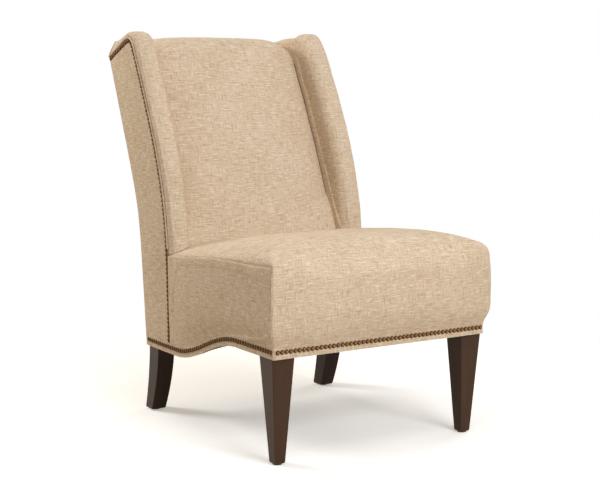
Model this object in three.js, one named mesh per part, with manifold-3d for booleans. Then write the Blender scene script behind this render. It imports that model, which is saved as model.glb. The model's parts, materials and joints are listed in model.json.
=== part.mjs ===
// A slipper chair: an armless upholstered seat with a winged back, on four dark wooden legs.
// Lengths are millimetres and +Z is up. The chair faces -Y, and left means the -X side.
// "depth" runs rearwards from the front base line; the finished chair is centred over the origin.
import * as THREE from 'three';
import Module from 'manifold-3d';
import { mergeVertices } from 'three/addons/utils/BufferGeometryUtils.js';

const wasm = await Module();
wasm.setup();

// Base of the upholstery
const baseWidth = 590;
const frontBaseHeight = 245;
const rearBaseHeight = 171;
const rearBaseDepth = 650;
const wingPanelDepth = 136;
const ogeeLead = 37;
const ogeeLength = 308;

// Skins and clearances
const coverThickness = 2;
const touchGap = 0.3;
const foamGap = 0.8;
const bodyCornerRadius = 8;

// Seat
const seamHeight = 445;
const seamDrop = 28;
const seamLevelDepth = 120;
const seatCrown = 45;
const rearCrown = 28;
const frontBulge = 18;
const cornerBulge = 12;
const sideBulge = 12;

// Back and wings, whose edges rise from a foot and lean back above a soft knee
const wingKneeHeight = 572;
const wingKneeSoftness = 85;
const rearKneeHeight = 520;
const rearKneeSoftness = 35;
const insideBackLead = 122;
const insideBackRake = 0.348;
const insideBackBow = 38.5;
const insideBackCrown = 35;
const backTopHeight = 957;
const backRearDrop = 15;
const topTurn = 64;
const tuckDrop = 45;
const tuckDepth = 14;
const wingTipDrop = 6;
const wingTipRadius = 26;
const wingStartDrop = 13;
const shoulderDrop = 54;
const wingThickness = 60;
const rollReach = 35;

// Nailhead trim and welt
const nailDiameter = 10.8;
const nailPitch = 11.3;
const nailRise = 16;
const nailHeight = 3.4;
const weltDiameter = 4.6;

// Timber frame
const plyThickness = 16;
const railThickness = 22;
const railTopHeight = 334;
const seatRailHeight = 50;
const blockReach = 80;
const blockHeight = 44;
const seatRailLead = 56;
const lowerRailHeight = 455;
const lowerRailLead = 47;
const topRailDrop = 97;
const topRailRise = 42;
const topRailLead = 56.1;
const backRailRise = 50;
const bottomRailRise = 66;

// Springs, webbing and dust cover
const wireDiameter = 3.6;
const clipThickness = 1.5;
const springCrown = 8;
const springLoopWidth = 46;
const springPitch = 33;
const springSpacing = 132;
const insulatorThickness = 2;
const webbingWidth = 50;
const webbingThickness = 2;
const webbingSpacing = 120;
const dustCoverThickness = 1.1;
const dustClearance = 1.5;

// Legs and their fastenings
const frontLegTop = 58;
const frontLegFoot = 27;
const frontLegInset = 31.6;
const frontLegDepth = 38;
const rearLegTopWidth = 46;
const rearLegTopDepth = 52;
const rearLegFootWidth = 40;
const rearLegFootDepth = 38;
const rearLegInset = 25.8;
const rearLegLead = 42.7;
const rearLegSplay = 36.7;
const rearFootSpread = 1.8;
const legChamfer = 3;
const edgeEase = 1.2;
const rearBoltLead = 8;
const rearBoltShift = 4;
const glideDiameter = 22;
const glideThickness = 3;
const glidePinDiameter = 3.2;
const glidePinLength = 14;
const boltDiameter = 8;
const boltReach = 42;
const nutWidth = 13;
const nutHeight = 6.5;
const washerDiameter = 20;
const washerThickness = 1.6;

// Values that follow from the sizes above
const wingFrontDepth = rearBaseDepth - wingPanelDepth;
const ogeeEndDepth = wingFrontDepth - ogeeLead;
const ogeeStartDepth = ogeeEndDepth - ogeeLength;
const insideBackDepth = rearBaseDepth - insideBackLead;
const insideBackHeight = seamHeight;
const wingStartHeight = seamHeight - wingStartDrop;
const insideBackRise = backTopHeight - topTurn - insideBackHeight;
const backRearHeight = backTopHeight - backRearDrop;
const wingTipHeight = backTopHeight - wingTipDrop;
const shoulderHeight = wingTipHeight - shoulderDrop;
const topRailHeight = backTopHeight - topRailDrop;
const rearSeatRailDepth = rearBaseDepth - seatRailLead;
const lowerRailDepth = rearBaseDepth - lowerRailLead;
const rearLegTopCentre = rearBaseDepth - rearLegLead;
const rearLegFootCentre = rearLegTopCentre + rearLegSplay;
const halfWidth = baseWidth / 2;
const wingInner = halfWidth - wingThickness;
const wingMiddle = halfWidth - wingThickness / 2;
const nailBand = nailRise + nailDiameter / 2 + coverThickness;
const plyOuter = halfWidth - coverThickness - 2 * touchGap;
const plyInner = plyOuter - plyThickness;
const betweenPlies = 2 * (plyInner - touchGap);
const frameFront = coverThickness + 2 * touchGap;
const panelReach = nailDiameter / 2 + touchGap;
const seatSideEnd = wingFrontDepth - panelReach - touchGap;
const weltReach = panelReach + touchGap + weltDiameter / 2;
const lipReach = weltReach + weltDiameter / 2 + 4 * touchGap;
const plyReach = lipReach + touchGap;
const wireHeight = railTopHeight + clipThickness + wireDiameter / 2;
const insulatorBase = wireHeight + wireDiameter / 2 + touchGap;
const platformBase = insulatorBase + insulatorThickness + touchGap;
const backEdge = wingInner - coverThickness;
const frameRise = coverThickness;

const clamp = (value, low, high) => Math.min(Math.max(value, low), high);
const mix = (a, b, share) => a + (b - a) * share;
const smooth = (share) => share * share * (3 - 2 * share);
const rise = (value, start, end) => smooth(clamp((value - start) / (end - start), 0, 1));

function tableAt(table, share) {
  const next = table.findIndex(([at]) => at >= share);
  if (next === 0) return table[0][1];
  const [[from, low], [to, high]] = [table[next - 1], table[next]];
  return mix(low, high, (share - from) / (to - from));
}

// The lower edge of the upholstery sweeps down from the front skirt to the rear legs in one ogee.
function baseEdge(depth) {
  const share = clamp((depth - ogeeStartDepth) / (ogeeEndDepth - ogeeStartDepth), 0, 1);
  return mix(frontBaseHeight, rearBaseHeight, (1 - Math.cos(Math.PI * share)) / 2);
}

// How far an edge has leaned back at a height, with one rake below its knee and another above it.
const wingRakeShares = [0, 0.535];
const rearRakeShares = [0.103, 0.442];

function lean(height, [lower, upper], knee, softness) {
  const bend = softness * Math.log1p(Math.exp((height - knee) / softness));
  return lower * (height - rearBaseHeight) + (upper - lower) * bend;
}

function wingFront(height) {
  return wingFrontDepth + lean(height, wingRakeShares, wingKneeHeight, wingKneeSoftness);
}

function rearFace(height) {
  return rearBaseDepth + lean(height, rearRakeShares, rearKneeHeight, rearKneeSoftness);
}

function insideBack(height) {
  const climb = Math.max(height - insideBackHeight, 0);
  return insideBackDepth + insideBackRake * climb + insideBackBow * (climb / insideBackRise) ** 2;
}

const seamPower = 1.3;

function seatSeam(depth) {
  const share = Math.max((depth - seamLevelDepth) / (wingFrontDepth - seamLevelDepth), 0);
  return seamHeight - seamDrop * share ** seamPower;
}

// How far the rounded rear corners of the body lie ahead of its rear face.
function cornerInset(x) {
  const past = clamp(Math.abs(x) - (halfWidth - bodyCornerRadius), 0, bodyCornerRadius);
  return bodyCornerRadius - Math.sqrt(bodyCornerRadius ** 2 - past ** 2);
}

// Mesh helpers

const weldShare = 0.0005;
const slackShare = 0.000001;
const postSides = 16;
const nutSides = 6;

function geometryFrom(triangles) {
  const geometry = new THREE.BufferGeometry();
  const flat = triangles.flatMap((triangle) => triangle.flatMap((p) => [p.x, p.y, p.z]));
  geometry.setAttribute('position', new THREE.Float32BufferAttribute(flat, 3));
  return tidy(geometry);
}

// Merges shared vertices, drops collapsed triangles and turns the faces outwards.
function tidy(geometry) {
  geometry.deleteAttribute('normal');
  geometry.deleteAttribute('uv');
  const merged = mergeVertices(geometry, coverThickness * weldShare);
  const position = merged.getAttribute('position');
  const index = merged.getIndex().array;
  const kept = [];
  let volume = 0;
  const [a, b, c] = [new THREE.Vector3(), new THREE.Vector3(), new THREE.Vector3()];
  for (let i = 0; i < index.length; i += 3) {
    const [p, q, r] = [index[i], index[i + 1], index[i + 2]];
    if (p === q || q === r || r === p) continue;
    kept.push(p, q, r);
    a.fromBufferAttribute(position, p);
    b.fromBufferAttribute(position, q);
    c.fromBufferAttribute(position, r);
    volume += a.dot(b.cross(c));
  }
  merged.setIndex(volume < 0 ? kept.reverse() : kept);
  return merged;
}

function toSolid(geometry) {
  const clean = tidy(geometry.clone());
  const vertProperties = new Float32Array(clean.getAttribute('position').array);
  const triVerts = new Uint32Array(clean.getIndex().array);
  return new wasm.Manifold(new wasm.Mesh({ numProp: 3, vertProperties, triVerts }));
}

function toGeometry(solid) {
  const { vertProperties, triVerts } = solid.getMesh();
  const geometry = new THREE.BufferGeometry();
  geometry.setAttribute('position', new THREE.BufferAttribute(vertProperties, 3));
  geometry.setIndex([...triVerts]);
  return geometry;
}

function cut(geometry, ...tools) {
  return toGeometry(tools.reduce((solid, tool) => solid.subtract(toSolid(tool)), toSolid(geometry)));
}

function join(geometry, ...others) {
  return toGeometry(others.reduce((solid, other) => solid.add(toSolid(other)), toSolid(geometry)));
}

const quad = (a, b, c, d) => [[a, b, c], [a, c, d]];

// A closed body between two grids of the same size; the grids may meet along an edge.
function slab(outer, inner) {
  const triangles = [];
  const rows = outer.length - 1;
  const columns = outer[0].length - 1;
  for (let r = 0; r < rows; r++) {
    for (let c = 0; c < columns; c++) {
      triangles.push(...quad(outer[r][c], outer[r][c + 1], outer[r + 1][c + 1], outer[r + 1][c]));
      triangles.push(...quad(inner[r][c], inner[r + 1][c], inner[r + 1][c + 1], inner[r][c + 1]));
    }
  }
  for (let c = 0; c < columns; c++) {
    triangles.push(...quad(outer[0][c + 1], outer[0][c], inner[0][c], inner[0][c + 1]));
    const [from, to] = [outer[rows], inner[rows]];
    triangles.push(...quad(from[c], from[c + 1], to[c + 1], to[c]));
  }
  for (let r = 0; r < rows; r++) {
    triangles.push(...quad(outer[r][0], outer[r + 1][0], inner[r + 1][0], inner[r][0]));
    const [low, high] = [outer, inner].map((grid) => [grid[r][columns], grid[r + 1][columns]]);
    triangles.push(...quad(low[1], low[0], high[0], high[1]));
  }
  return geometryFrom(triangles);
}

// Moves every point of a grid inwards along the normal that coincident points share.
function inset(grid, distance, facing) {
  const keyOf = (p) => p.toArray().map((value) => Math.round(value / touchGap)).join();
  const normals = new Map();
  const add = (a, b, c) => {
    const normal = b.clone().sub(a).cross(c.clone().sub(a)).normalize();
    for (const p of [a, b, c]) {
      const key = keyOf(p);
      if (!normals.has(key)) normals.set(key, new THREE.Vector3());
      normals.get(key).add(normal);
    }
  };
  for (let r = 0; r + 1 < grid.length; r++) {
    for (let c = 0; c + 1 < grid[r].length; c++) {
      const faces = quad(grid[r][c], grid[r][c + 1], grid[r + 1][c + 1], grid[r + 1][c]);
      faces.forEach(([p, q, s]) => add(p, q, s));
    }
  }
  const shift = (p) => {
    const normal = normals.get(keyOf(p)).clone().normalize();
    return p.clone().addScaledVector(normal, distance * facing);
  };
  return grid.map((row) => row.map(shift));
}

// A closed body through rings of the same count, capped by fans; every ring is convex.
function loft(rings) {
  const triangles = [];
  const count = rings[0].length;
  for (let r = 0; r + 1 < rings.length; r++) {
    for (let i = 0; i < count; i++) {
      const j = (i + 1) % count;
      triangles.push(...quad(rings[r][i], rings[r][j], rings[r + 1][j], rings[r + 1][i]));
    }
  }
  const last = rings[rings.length - 1];
  for (let i = 1; i + 1 < count; i++) {
    triangles.push([rings[0][0], rings[0][i + 1], rings[0][i]]);
    triangles.push([last[0], last[i], last[i + 1]]);
  }
  return geometryFrom(triangles);
}

// A round rod along points that bend mostly in the plane square to "up".
function rod(points, radius, sides, up) {
  const rings = points.map((point, i) => {
    const before = points[Math.max(i - 1, 0)];
    const after = points[Math.min(i + 1, points.length - 1)];
    const along = after.clone().sub(before).normalize();
    const across = along.clone().cross(up).normalize();
    const above = across.clone().cross(along);
    return Array.from({ length: sides }, (_, k) => {
      const turn = (2 * Math.PI * (k + 0.5)) / sides;
      const offset = across.clone().multiplyScalar(radius * Math.cos(turn));
      return point.clone().add(offset).addScaledVector(above, radius * Math.sin(turn));
    });
  });
  return loft(rings);
}

// A flat board whose outline lies in the depth and height plane, between two values of x.
function board(outline, xLow, xHigh) {
  const shape = new THREE.Shape(outline.map(([depth, height]) => new THREE.Vector2(depth, height)));
  const geometry = new THREE.ExtrudeGeometry(shape, { depth: xHigh - xLow, bevelEnabled: false });
  const turn = new THREE.Matrix4().makeBasis(
    new THREE.Vector3(0, 1, 0),
    new THREE.Vector3(0, 0, 1),
    new THREE.Vector3(1, 0, 0),
  );
  return geometry.applyMatrix4(turn).translate(xLow, 0, 0);
}

function block(xSize, depthSize, heightSize, x, depth, height) {
  const geometry = new THREE.BoxGeometry(xSize, depthSize, heightSize);
  return geometry.translate(x, depth + depthSize / 2, height + heightSize / 2);
}

function post(radius, length, x, depth, height, sides = postSides) {
  const geometry = new THREE.CylinderGeometry(radius, radius, length, sides).rotateX(Math.PI / 2);
  return geometry.translate(x, depth, height + length / 2);
}

const spaced = (count) => Array.from({ length: count + 1 }, (_, i) => i / count);
const pt = (x, depth, height) => new THREE.Vector3(x, depth, height);

const wingStepShare = 0.14;
const wingFrontSteps = 12;
const wingBendSteps = 5;
const wingTopSteps = 5;

// The wing outline on the side of the chair: up the front edge, round the tip and back along the top.
// Every station has its place, its outward direction and how much of the way it lies along the top.

function topSlope() {
  const tipDepth = wingFront(wingTipHeight);
  const endDepth = rearFace(shoulderHeight) - bodyCornerRadius;
  return new THREE.Vector2(endDepth - tipDepth, shoulderHeight - wingTipHeight);
}

function wingPath(startHeight) {
  const tip = new THREE.Vector2(wingFront(wingTipHeight), wingTipHeight);
  const top = topSlope();
  const along = top.clone().normalize();
  const bendHeight = wingTipHeight - wingTipRadius;
  const bendStart = new THREE.Vector2(wingFront(bendHeight), bendHeight);
  const bendEnd = tip.clone().addScaledVector(along, wingTipRadius);
  const lowSteps = Math.ceil((1 - startHeight / wingStartHeight) / wingStepShare);
  const lowShares = lowSteps > 0 ? spaced(lowSteps).slice(0, -1) : [];
  const low = lowShares.map((share) => {
    const height = mix(startHeight, wingStartHeight, share);
    return new THREE.Vector2(wingFront(height), height);
  });
  const front = spaced(wingFrontSteps).map((share) => {
    const height = mix(wingStartHeight, bendHeight, share);
    return new THREE.Vector2(wingFront(height), height);
  });
  const bend = new THREE.QuadraticBezierCurve(bendStart, tip, bendEnd).getPoints(wingBendSteps).slice(1);
  const topEnd = tip.clone().add(top);
  const back = spaced(wingTopSteps).slice(1).map((share) => bendEnd.clone().lerp(topEnd, share));
  return [...low, ...front, ...bend, ...back];
}

// Every point of a flat path with its outward direction, lengthened where the path bends so that
// a line drawn at a given reach stays parallel to the path.
function cornersOf(points) {
  const sideways = (from, to) => {
    const along = to.clone().sub(from).normalize();
    return new THREE.Vector2(-along.y, along.x);
  };
  return points.map((point, i) => {
    const before = sideways(points[Math.max(i - 1, 0)], points[Math.max(i, 1)]);
    const end = points.length - 1;
    const after = sideways(points[Math.min(i, end - 1)], points[Math.min(i + 1, end)]);
    const outward = before.clone().add(after).divideScalar(1 + before.dot(after));
    return { point, outward };
  });
}

const pathLength = (points) => points.slice(1).reduce((sum, p, i) => sum + p.distanceTo(points[i]), 0);

// Points at even spacing along a flat path, each with its outward direction.
function stations(points, count) {
  const total = pathLength(points);
  const found = [];
  let walked = 0;
  let next = 0;
  for (let i = 1; i < points.length; i++) {
    const step = points[i].distanceTo(points[i - 1]);
    const slack = total * slackShare;
    while (next <= count && (total * next) / count <= walked + step + slack) {
      const share = ((total * next) / count - walked) / step;
      found.push(points[i - 1].clone().lerp(points[i], share));
      next += 1;
    }
    walked += step;
  }
  return found.map((point, i) => {
    const before = found[Math.max(i - 1, 0)];
    const after = found[Math.min(i + 1, count)];
    const along = after.clone().sub(before).normalize();
    return { point, outward: new THREE.Vector2(-along.y, along.x) };
  });
}

function wingSide(x, station, reach) {
  const place = station.point.clone().addScaledVector(station.outward, reach);
  return pt(x, place.x, place.y);
}

// Seat surface

const seatColumnShares = [0, 0.28, 0.54, 0.76, 0.92, 1];
const bulgeShares = [0, 0, 0.8, 1, 0.96, 0.8];
const sideTopShare = 0.55;
const sideEndShare = 0.15;
const sideTaperShare = 0.78;
const crownShares = [
  [0, 0.7], [0.02, 0.74], [0.06, 0.88], [0.12, 0.97], [0.22, 1], [0.4, 0.98], [0.7, 0.84], [1, 0.62],
];
const topRowShares = [0, 0.03, 0.08, 0.16, 0.28, 0.42, 0.56, 0.7, 0.82, 0.92, 1];
const frontCrownShare = 0.65;
const frontStartShare = 0.6;
const cornerFadeShare = 5;
const skirtRowShare = 0.55;
const sideRowShares = [0.4, 0.74];
const wingColumnShares = [0.7, 0.93];
const topFlatness = 6.5;
const cornerFlatness = 24;
const cornerShare = 0.6;
const frontFlatness = 2.6;
const backFlatness = 3;
const deckRowCount = 3;
const cornerRow = bulgeShares.length;

function seatCrownAt(depth) {
  return seatCrown * tableAt(crownShares, clamp(depth / (insideBackDepth - insideBackCrown), 0, 1));
}

const sideTaper = (depth) => mix(1, sideEndShare, rise(depth, seatSideEnd * sideTaperShare, seatSideEnd));
const seatEdge = (depth) => halfWidth + sideBulge * sideTopShare * sideTaper(depth);

// The top falls to the side seams, more squarely at the front corners than farther back.
function seatTop(x, depth) {
  const share = Math.min(Math.abs(x) / seatEdge(depth), 1);
  const square = cornerShare * (1 - rise(depth, 0, seatSideEnd / 2));
  const across = 1 - mix(share ** topFlatness, share ** cornerFlatness, square);
  return seatSeam(depth) + seatCrownAt(depth) * across;
}

const springSpan = () => rearSeatRailDepth + railThickness / 2;
const platform = (depth) => springCrown * Math.sin(Math.PI * clamp(depth / springSpan(), 0, 1));

function insideBackFront(x) {
  return insideBackDepth - insideBackCrown * (1 - (Math.abs(x) / backEdge) ** backFlatness);
}

// Heights of the rows on the sides and the front face, from the base edge up to just under the seam.
function rowHeights(depth, topHeight) {
  const low = baseEdge(depth);
  const band = low + nailBand;
  const deck = platformBase + platform(depth);
  const upper = sideRowShares.map((share) => mix(deck, topHeight, share));
  return [low, band, mix(band, deck, skirtRowShare), deck, ...upper];
}

// The whole seat skin as one grid: columns climb the left side, cross the top and go down the right side;
// rows climb the front face and then run rearwards. At the front corners the side columns fold together.
function seatSkin() {
  const lastEdge = seatEdge(seatSideEnd);
  const backShares = seatColumnShares.map((share) => (share * backEdge) / lastEdge);
  const underWing = wingColumnShares.map((share) => mix(wingInner, halfWidth, share));
  const outer = [wingInner + coverThickness, ...underWing];
  const half = [...backShares, ...outer.map((x) => x / lastEdge), 1];
  const across = [...half.slice(1).reverse().map((share) => -share), ...half];
  const sideRows = [...bulgeShares.keys()];
  const grid = [];
  const edgeHeights = rowHeights(0, seamHeight);
  const centreCorner = seamHeight + seatCrown * frontCrownShare;
  const centreHeights = rowHeights(0, centreCorner);

  const cornerPoint = (side, row) => {
    if (row === cornerRow) return pt(side * seatEdge(0), 0, seamHeight);
    const bulge = bulgeShares[row];
    return pt(side * (halfWidth + sideBulge * bulge), -cornerBulge * bulge, edgeHeights[row]);
  };
  for (let row = 0; row < cornerRow; row++) {
    const fold = (side) => sideRows.map((k) => cornerPoint(side, Math.min(row, k)));
    const middle = across.map((share) => {
      const edge = cornerPoint(Math.sign(share) || 1, row);
      const weight = 1 - Math.abs(share) ** frontFlatness;
      const depth = mix(edge.y, -frontBulge * bulgeShares[row], weight);
      return pt(Math.abs(edge.x) * share, depth, mix(edge.z, centreHeights[row], weight));
    });
    grid.push([...fold(-1), ...middle, ...fold(1).reverse()]);
  }
  for (const along of topRowShares) {
    const edgeDepth = along * seatSideEnd;
    const sidePoints = (side) => sideRows.map((k) => sidePoint(side, edgeDepth, k));
    const middle = across.map((share) => {
      const x = share * seatEdge(edgeDepth);
      const weight = 1 - Math.abs(share) ** topFlatness;
      const start = frontBulge * frontStartShare * weight;
      const inner = Math.abs(share) <= backShares[backShares.length - 1];
      const end = inner ? insideBackFront(share * lastEdge) - 2 * touchGap : seatSideEnd;
      const depth = mix(start, end, along);
      return pt(x, depth, seatTop(x, depth));
    });
    grid.push([...sidePoints(-1), ...middle, ...sidePoints(1).reverse()]);
  }
  return grid;
}

function sidePoint(side, depth, row) {
  const bulge = bulgeShares[row];
  const heights = rowHeights(depth, seatSeam(depth));
  const fade = clamp(1 - depth / (cornerFadeShare * cornerBulge), 0, 1);
  const x = halfWidth + sideBulge * bulge * sideTaper(depth);
  return pt(side * x, depth - cornerBulge * bulge * fade, heights[row]);
}

function seatParts() {
  const skin = seatSkin();
  const under = inset(skin, coverThickness, -1);
  const padding = inset(skin, coverThickness + foamGap, -1);
  const sideCount = bulgeShares.length;
  const width = skin[0].length;
  const columns = (grid, from, to) => grid.map((row) => row.slice(from, to));
  const middle = (grid) => columns(grid, sideCount, width - sideCount);
  const cover = slab(middle(skin), middle(under));

  const panel = (from, to) => {
    const take = (grid) => drawSeam(columns(grid.slice(cornerRow), from, to), from > 0);
    return slab(take(skin), take(under));
  };
  const left = panel(0, sideCount + 1);
  const right = panel(width - sideCount - 1, width);
  const foam = seatFoam(columns(padding, deckRowCount, width - deckRowCount).slice(deckRowCount));
  return { cover, left, right, foam };
}

// Draws a side panel back from the seam by the touching gap, at its front edge and along its top.
function drawSeam(grid, seamFirst) {
  const drawn = grid.map((row) => row.map((p) => p.clone()));
  const last = drawn[0].length - 1;
  const [seam, next] = seamFirst ? [0, 1] : [last, last - 1];
  drawn[0].forEach((p, c) => p.add(grid[1][c].clone().sub(p).setLength(2 * touchGap)));
  drawn.forEach((row) => row[seam].add(row[next].clone().sub(row[seam]).setLength(2 * touchGap)));
  return drawn;
}

// The foam block fills the skin above the spring deck; its underside follows the crown of the springs.
function seatFoam(outer) {
  const frontRows = cornerRow - deckRowCount;
  const last = outer[0].length - 1;
  const sideCount = bulgeShares.length - deckRowCount;
  const inner = outer.map((row, r) => row.map((p, c) => {
    if (r <= frontRows) return outer[0][c].clone();
    if (c <= sideCount) return row[0].clone();
    if (c >= last - sideCount) return row[last].clone();
    const share = p.x / row[last - sideCount].x;
    return pt(share * row[last].x, p.y, platformBase + platform(p.y));
  }));
  return slab(outer, inner);
}

// Back cushion

const backRowShares = [0, 0.1, 0.22, 0.36, 0.5, 0.64, 0.77, 0.89, 1];
const turnSteps = 6;
const turnStartShare = 0.2;
const turnRiseShare = 0.32;
const edgeTurnShares = [0.55, 0.42];
const centreTurnShares = [0.75, 0.34];

function backSkin() {
  const shares = seatColumnShares;
  const across = [...shares.slice(1).reverse().map((share) => -share), ...shares];
  const shoulder = backTopHeight - topTurn;
  const rearDepth = rearFace(backRearHeight) - coverThickness - 3 * touchGap;
  const edgeStart = new THREE.Vector2(insideBack(shoulder), shoulder);
  const rearEnd = new THREE.Vector2(rearDepth, backRearHeight);
  const turned = (start, [lift, topShare]) => new THREE.CubicBezierCurve(
    start,
    start.clone().add(new THREE.Vector2(topTurn * turnStartShare, topTurn * lift)),
    new THREE.Vector2(mix(start.x, rearDepth, topShare), backTopHeight + topTurn * turnRiseShare * lift),
    rearEnd,
  ).getPoints(turnSteps).slice(1);
  const edgeTurn = turned(edgeStart, edgeTurnShares);
  const centreStart = edgeStart.clone().sub(new THREE.Vector2(insideBackCrown, 0));
  const centreTurn = turned(centreStart, centreTurnShares);
  const rowAt = (edge, centre) => across.map((share) => {
    const weight = 1 - Math.abs(share) ** backFlatness;
    const x = share * backEdge;
    return pt(x, mix(edge.x, centre.x, weight), mix(edge.y, centre.y, weight));
  });
  const tuckHeight = insideBackHeight - tuckDrop;
  const grid = [across.map((share) => pt(share * backEdge, insideBackFront(share * backEdge), tuckHeight))];
  backRowShares.forEach((share) => {
    const height = mix(insideBackHeight, shoulder, share);
    const edge = new THREE.Vector2(insideBack(height), height);
    const centre = new THREE.Vector2(insideBack(height) - insideBackCrown, height);
    grid.push(rowAt(edge, centre));
  });
  edgeTurn.forEach((edge, i) => grid.push(rowAt(edge, centreTurn[i])));
  return grid;
}

// The plane of the webbing, which rises straight from the lower back rail to the top rail.
const topRailDepth = rearFace(topRailHeight) - topRailLead;

function webbingPlane(height) {
  const run = (topRailDepth - lowerRailDepth) / (topRailHeight - lowerRailHeight);
  return lowerRailDepth + run * (height - lowerRailHeight);
}

function backParts() {
  const skin = backSkin();
  const cover = slab(skin, inset(skin, coverThickness, -1));
  const padding = inset(skin, coverThickness + foamGap, -1);
  const railTop = topRailHeight + topRailRise;
  const rear = rearFace(railTop) - coverThickness - 4 * touchGap;
  padding[padding.length - 1].forEach((p) => p.setY(rearFace(p.z) - coverThickness - 4 * touchGap));
  const onWebbing = padding.filter((row) => row.every((p) => p.z < railTop)).length;
  const inner = padding.map((row, r) => row.map((p) => {
    if (r < onWebbing) return pt(p.x, webbingPlane(p.z) - touchGap, p.z);
    const share = (r - onWebbing) / (padding.length - 1 - onWebbing);
    return pt(p.x, mix(webbingPlane(railTop) - touchGap, rear, share), railTop + touchGap);
  }));
  return { cover, foam: slab(padding, inner) };
}

// Wings

const rollShares = [
  [1, 0], [0.95, 0.45], [0.78, 0.78], [0.45, 0.96], [0.02, 1],
  [-0.4, 0.94], [-0.74, 0.72], [-0.94, 0.4], [-1, 0],
];
const rollBackCount = 4;
const innerFaceColumn = rollShares.length - rollBackCount;
const insideShares = [0.4, 1];
const shoulderShare = 1.57;
const wingTurnShare = 0.8;
const tuckTurnShare = 1.2;
const rollReachShares = [
  [0, 1], [0.72, 1], [0.79, 0.86], [0.83, 0.64],
  [0.865, 0.8], [0.93, 1.3], [0.955, 1.35], [1, shoulderShare],
];
const innerReachShares = [[0, 0], [0.84, 0], [0.92, 0.6], [1, 1.38]];
const slopeStartShare = 0.8;

// How far out a point of the roll lies: along the top, its outer half flattens rearwards to a slope.
function rollOut([across, out], share) {
  if (across <= 0) return out;
  return mix(out, 1 - across, clamp((share - slopeStartShare) / (1 - slopeStartShare), 0, 1));
}

// Where the inner face of the wing ends, hidden behind the edge of the inside back.
function wingTuck(share) {
  const turnHeight = backTopHeight - topTurn * tuckTurnShare;
  if (share < wingTurnShare) {
    const height = mix(insideBackHeight - tuckDepth, turnHeight, share / wingTurnShare);
    return new THREE.Vector2(insideBack(height) + tuckDepth, height);
  }
  const start = new THREE.Vector2(insideBack(turnHeight) + tuckDepth, turnHeight);
  const endHeight = backRearHeight - 2 * tuckDepth;
  const end = new THREE.Vector2(rearFace(endHeight) - coverThickness - 3 * touchGap, endHeight);
  const bend = new THREE.Vector2(start.x + tuckDepth, end.y);
  const part = (share - wingTurnShare) / (1 - wingTurnShare);
  return new THREE.QuadraticBezierCurve(start, bend, end).getPoint(part);
}

const restHeight = (x, depth) => seatTop(x, Math.min(depth, seatSideEnd)) + 4 * touchGap;

// One wing skin as a grid: each row is a section from the welt, over the roll, to the tuck inside.
function wingSkin(side) {
  const path = cornersOf(wingPath(wingStartHeight));
  const last = path.length - 1;
  const total = pathLength(path.map(({ point }) => point));
  let walked = 0;
  return path.map((station, row) => {
    if (row > 0) walked += station.point.distanceTo(path[row - 1].point);
    const share = walked / total;
    const reach = rollReach * tableAt(rollReachShares, share);
    const innerReach = rollReach * tableAt(innerReachShares, share);
    const section = rollShares.map(([across, out]) => {
      const x = wingMiddle + (wingThickness / 2) * across;
      const low = across > 0 ? lipReach : innerReach;
      return wingSide(x, station, mix(low, reach, rollOut([across, out], share)));
    });
    const inner = section[section.length - 1];
    const tuck = wingTuck(share);
    const inside = insideShares.map((part) => {
      return pt(wingInner, mix(inner.y, tuck.x, part), mix(inner.z, tuck.y, part));
    });
    return [...section, ...inside].map((p) => {
      if (row === 0) p.z = restHeight(p.x, p.y);
      const behind = rearFace(p.z) - coverThickness - 3 * touchGap - cornerInset(p.x);
      if (row === last) p.y = Math.min(p.y, behind);
      p.x *= side;
      return p;
    });
  });
}

// The front edge of the plywood: it stands back above the seat side and reaches under the welt on the wing.
function plyEdge(height) {
  return mix(coverThickness, plyReach, rise(height, wingStartHeight + nailRise, seamHeight + nailBand));
}

function wingParts(side) {
  const skin = wingSkin(side);
  const cover = slab(skin, inset(skin, coverThickness, side));
  const padding = inset(skin, coverThickness + foamGap, side);
  const path = cornersOf(wingPath(wingStartHeight));
  const front = innerFaceColumn;
  const inner = padding.map((row, r) => {
    const edge = plyEdge(path[r].point.y) + touchGap;
    const tuck = row[row.length - 1];
    return row.map((p, c) => {
      const within = plyInner - touchGap;
      const x = Math.max(mix(plyOuter - coverThickness, within, c / front), within);
      const place = wingSide(x * side, path[r], edge);
      if (c > front) {
        const part = (c - front) / (row.length - 1 - front);
        place.y = mix(place.y, tuck.y, part);
        place.z = mix(place.z, tuck.z, part);
      }
      if (r === 0) {
        place.z = restHeight(place.x, place.y);
        if (c <= front) place.y = wingFront(place.z) - edge;
      }
      return place;
    });
  });
  padding.forEach((row, r) => {
    if (r === 0) row.forEach((p) => p.setZ(restHeight(p.x, p.y)));
    else row[0].copy(wingSide(side * (plyOuter - touchGap), path[r], lipReach + 2 * touchGap));
  });
  return { cover, foam: slab(padding, inner), welt: wingWelt(side) };
}

const weltSides = 6;
const outlineSteps = 13;
const ogeeSteps = 8;

function wingWelt(side) {
  const x = side * (plyOuter + touchGap + weltDiameter / 2);
  const points = cornersOf(wingPath(wingStartHeight)).map((station) => wingSide(x, station, weltReach));
  return rod(points, weltDiameter / 2, weltSides, pt(1, 0, 0));
}

const outlineHeights = (low, high) => spaced(outlineSteps).map((share) => mix(low, high, share));
const ogeeDepths = () => spaced(ogeeSteps).map((share) => mix(ogeeStartDepth, ogeeEndDepth, share));

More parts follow.
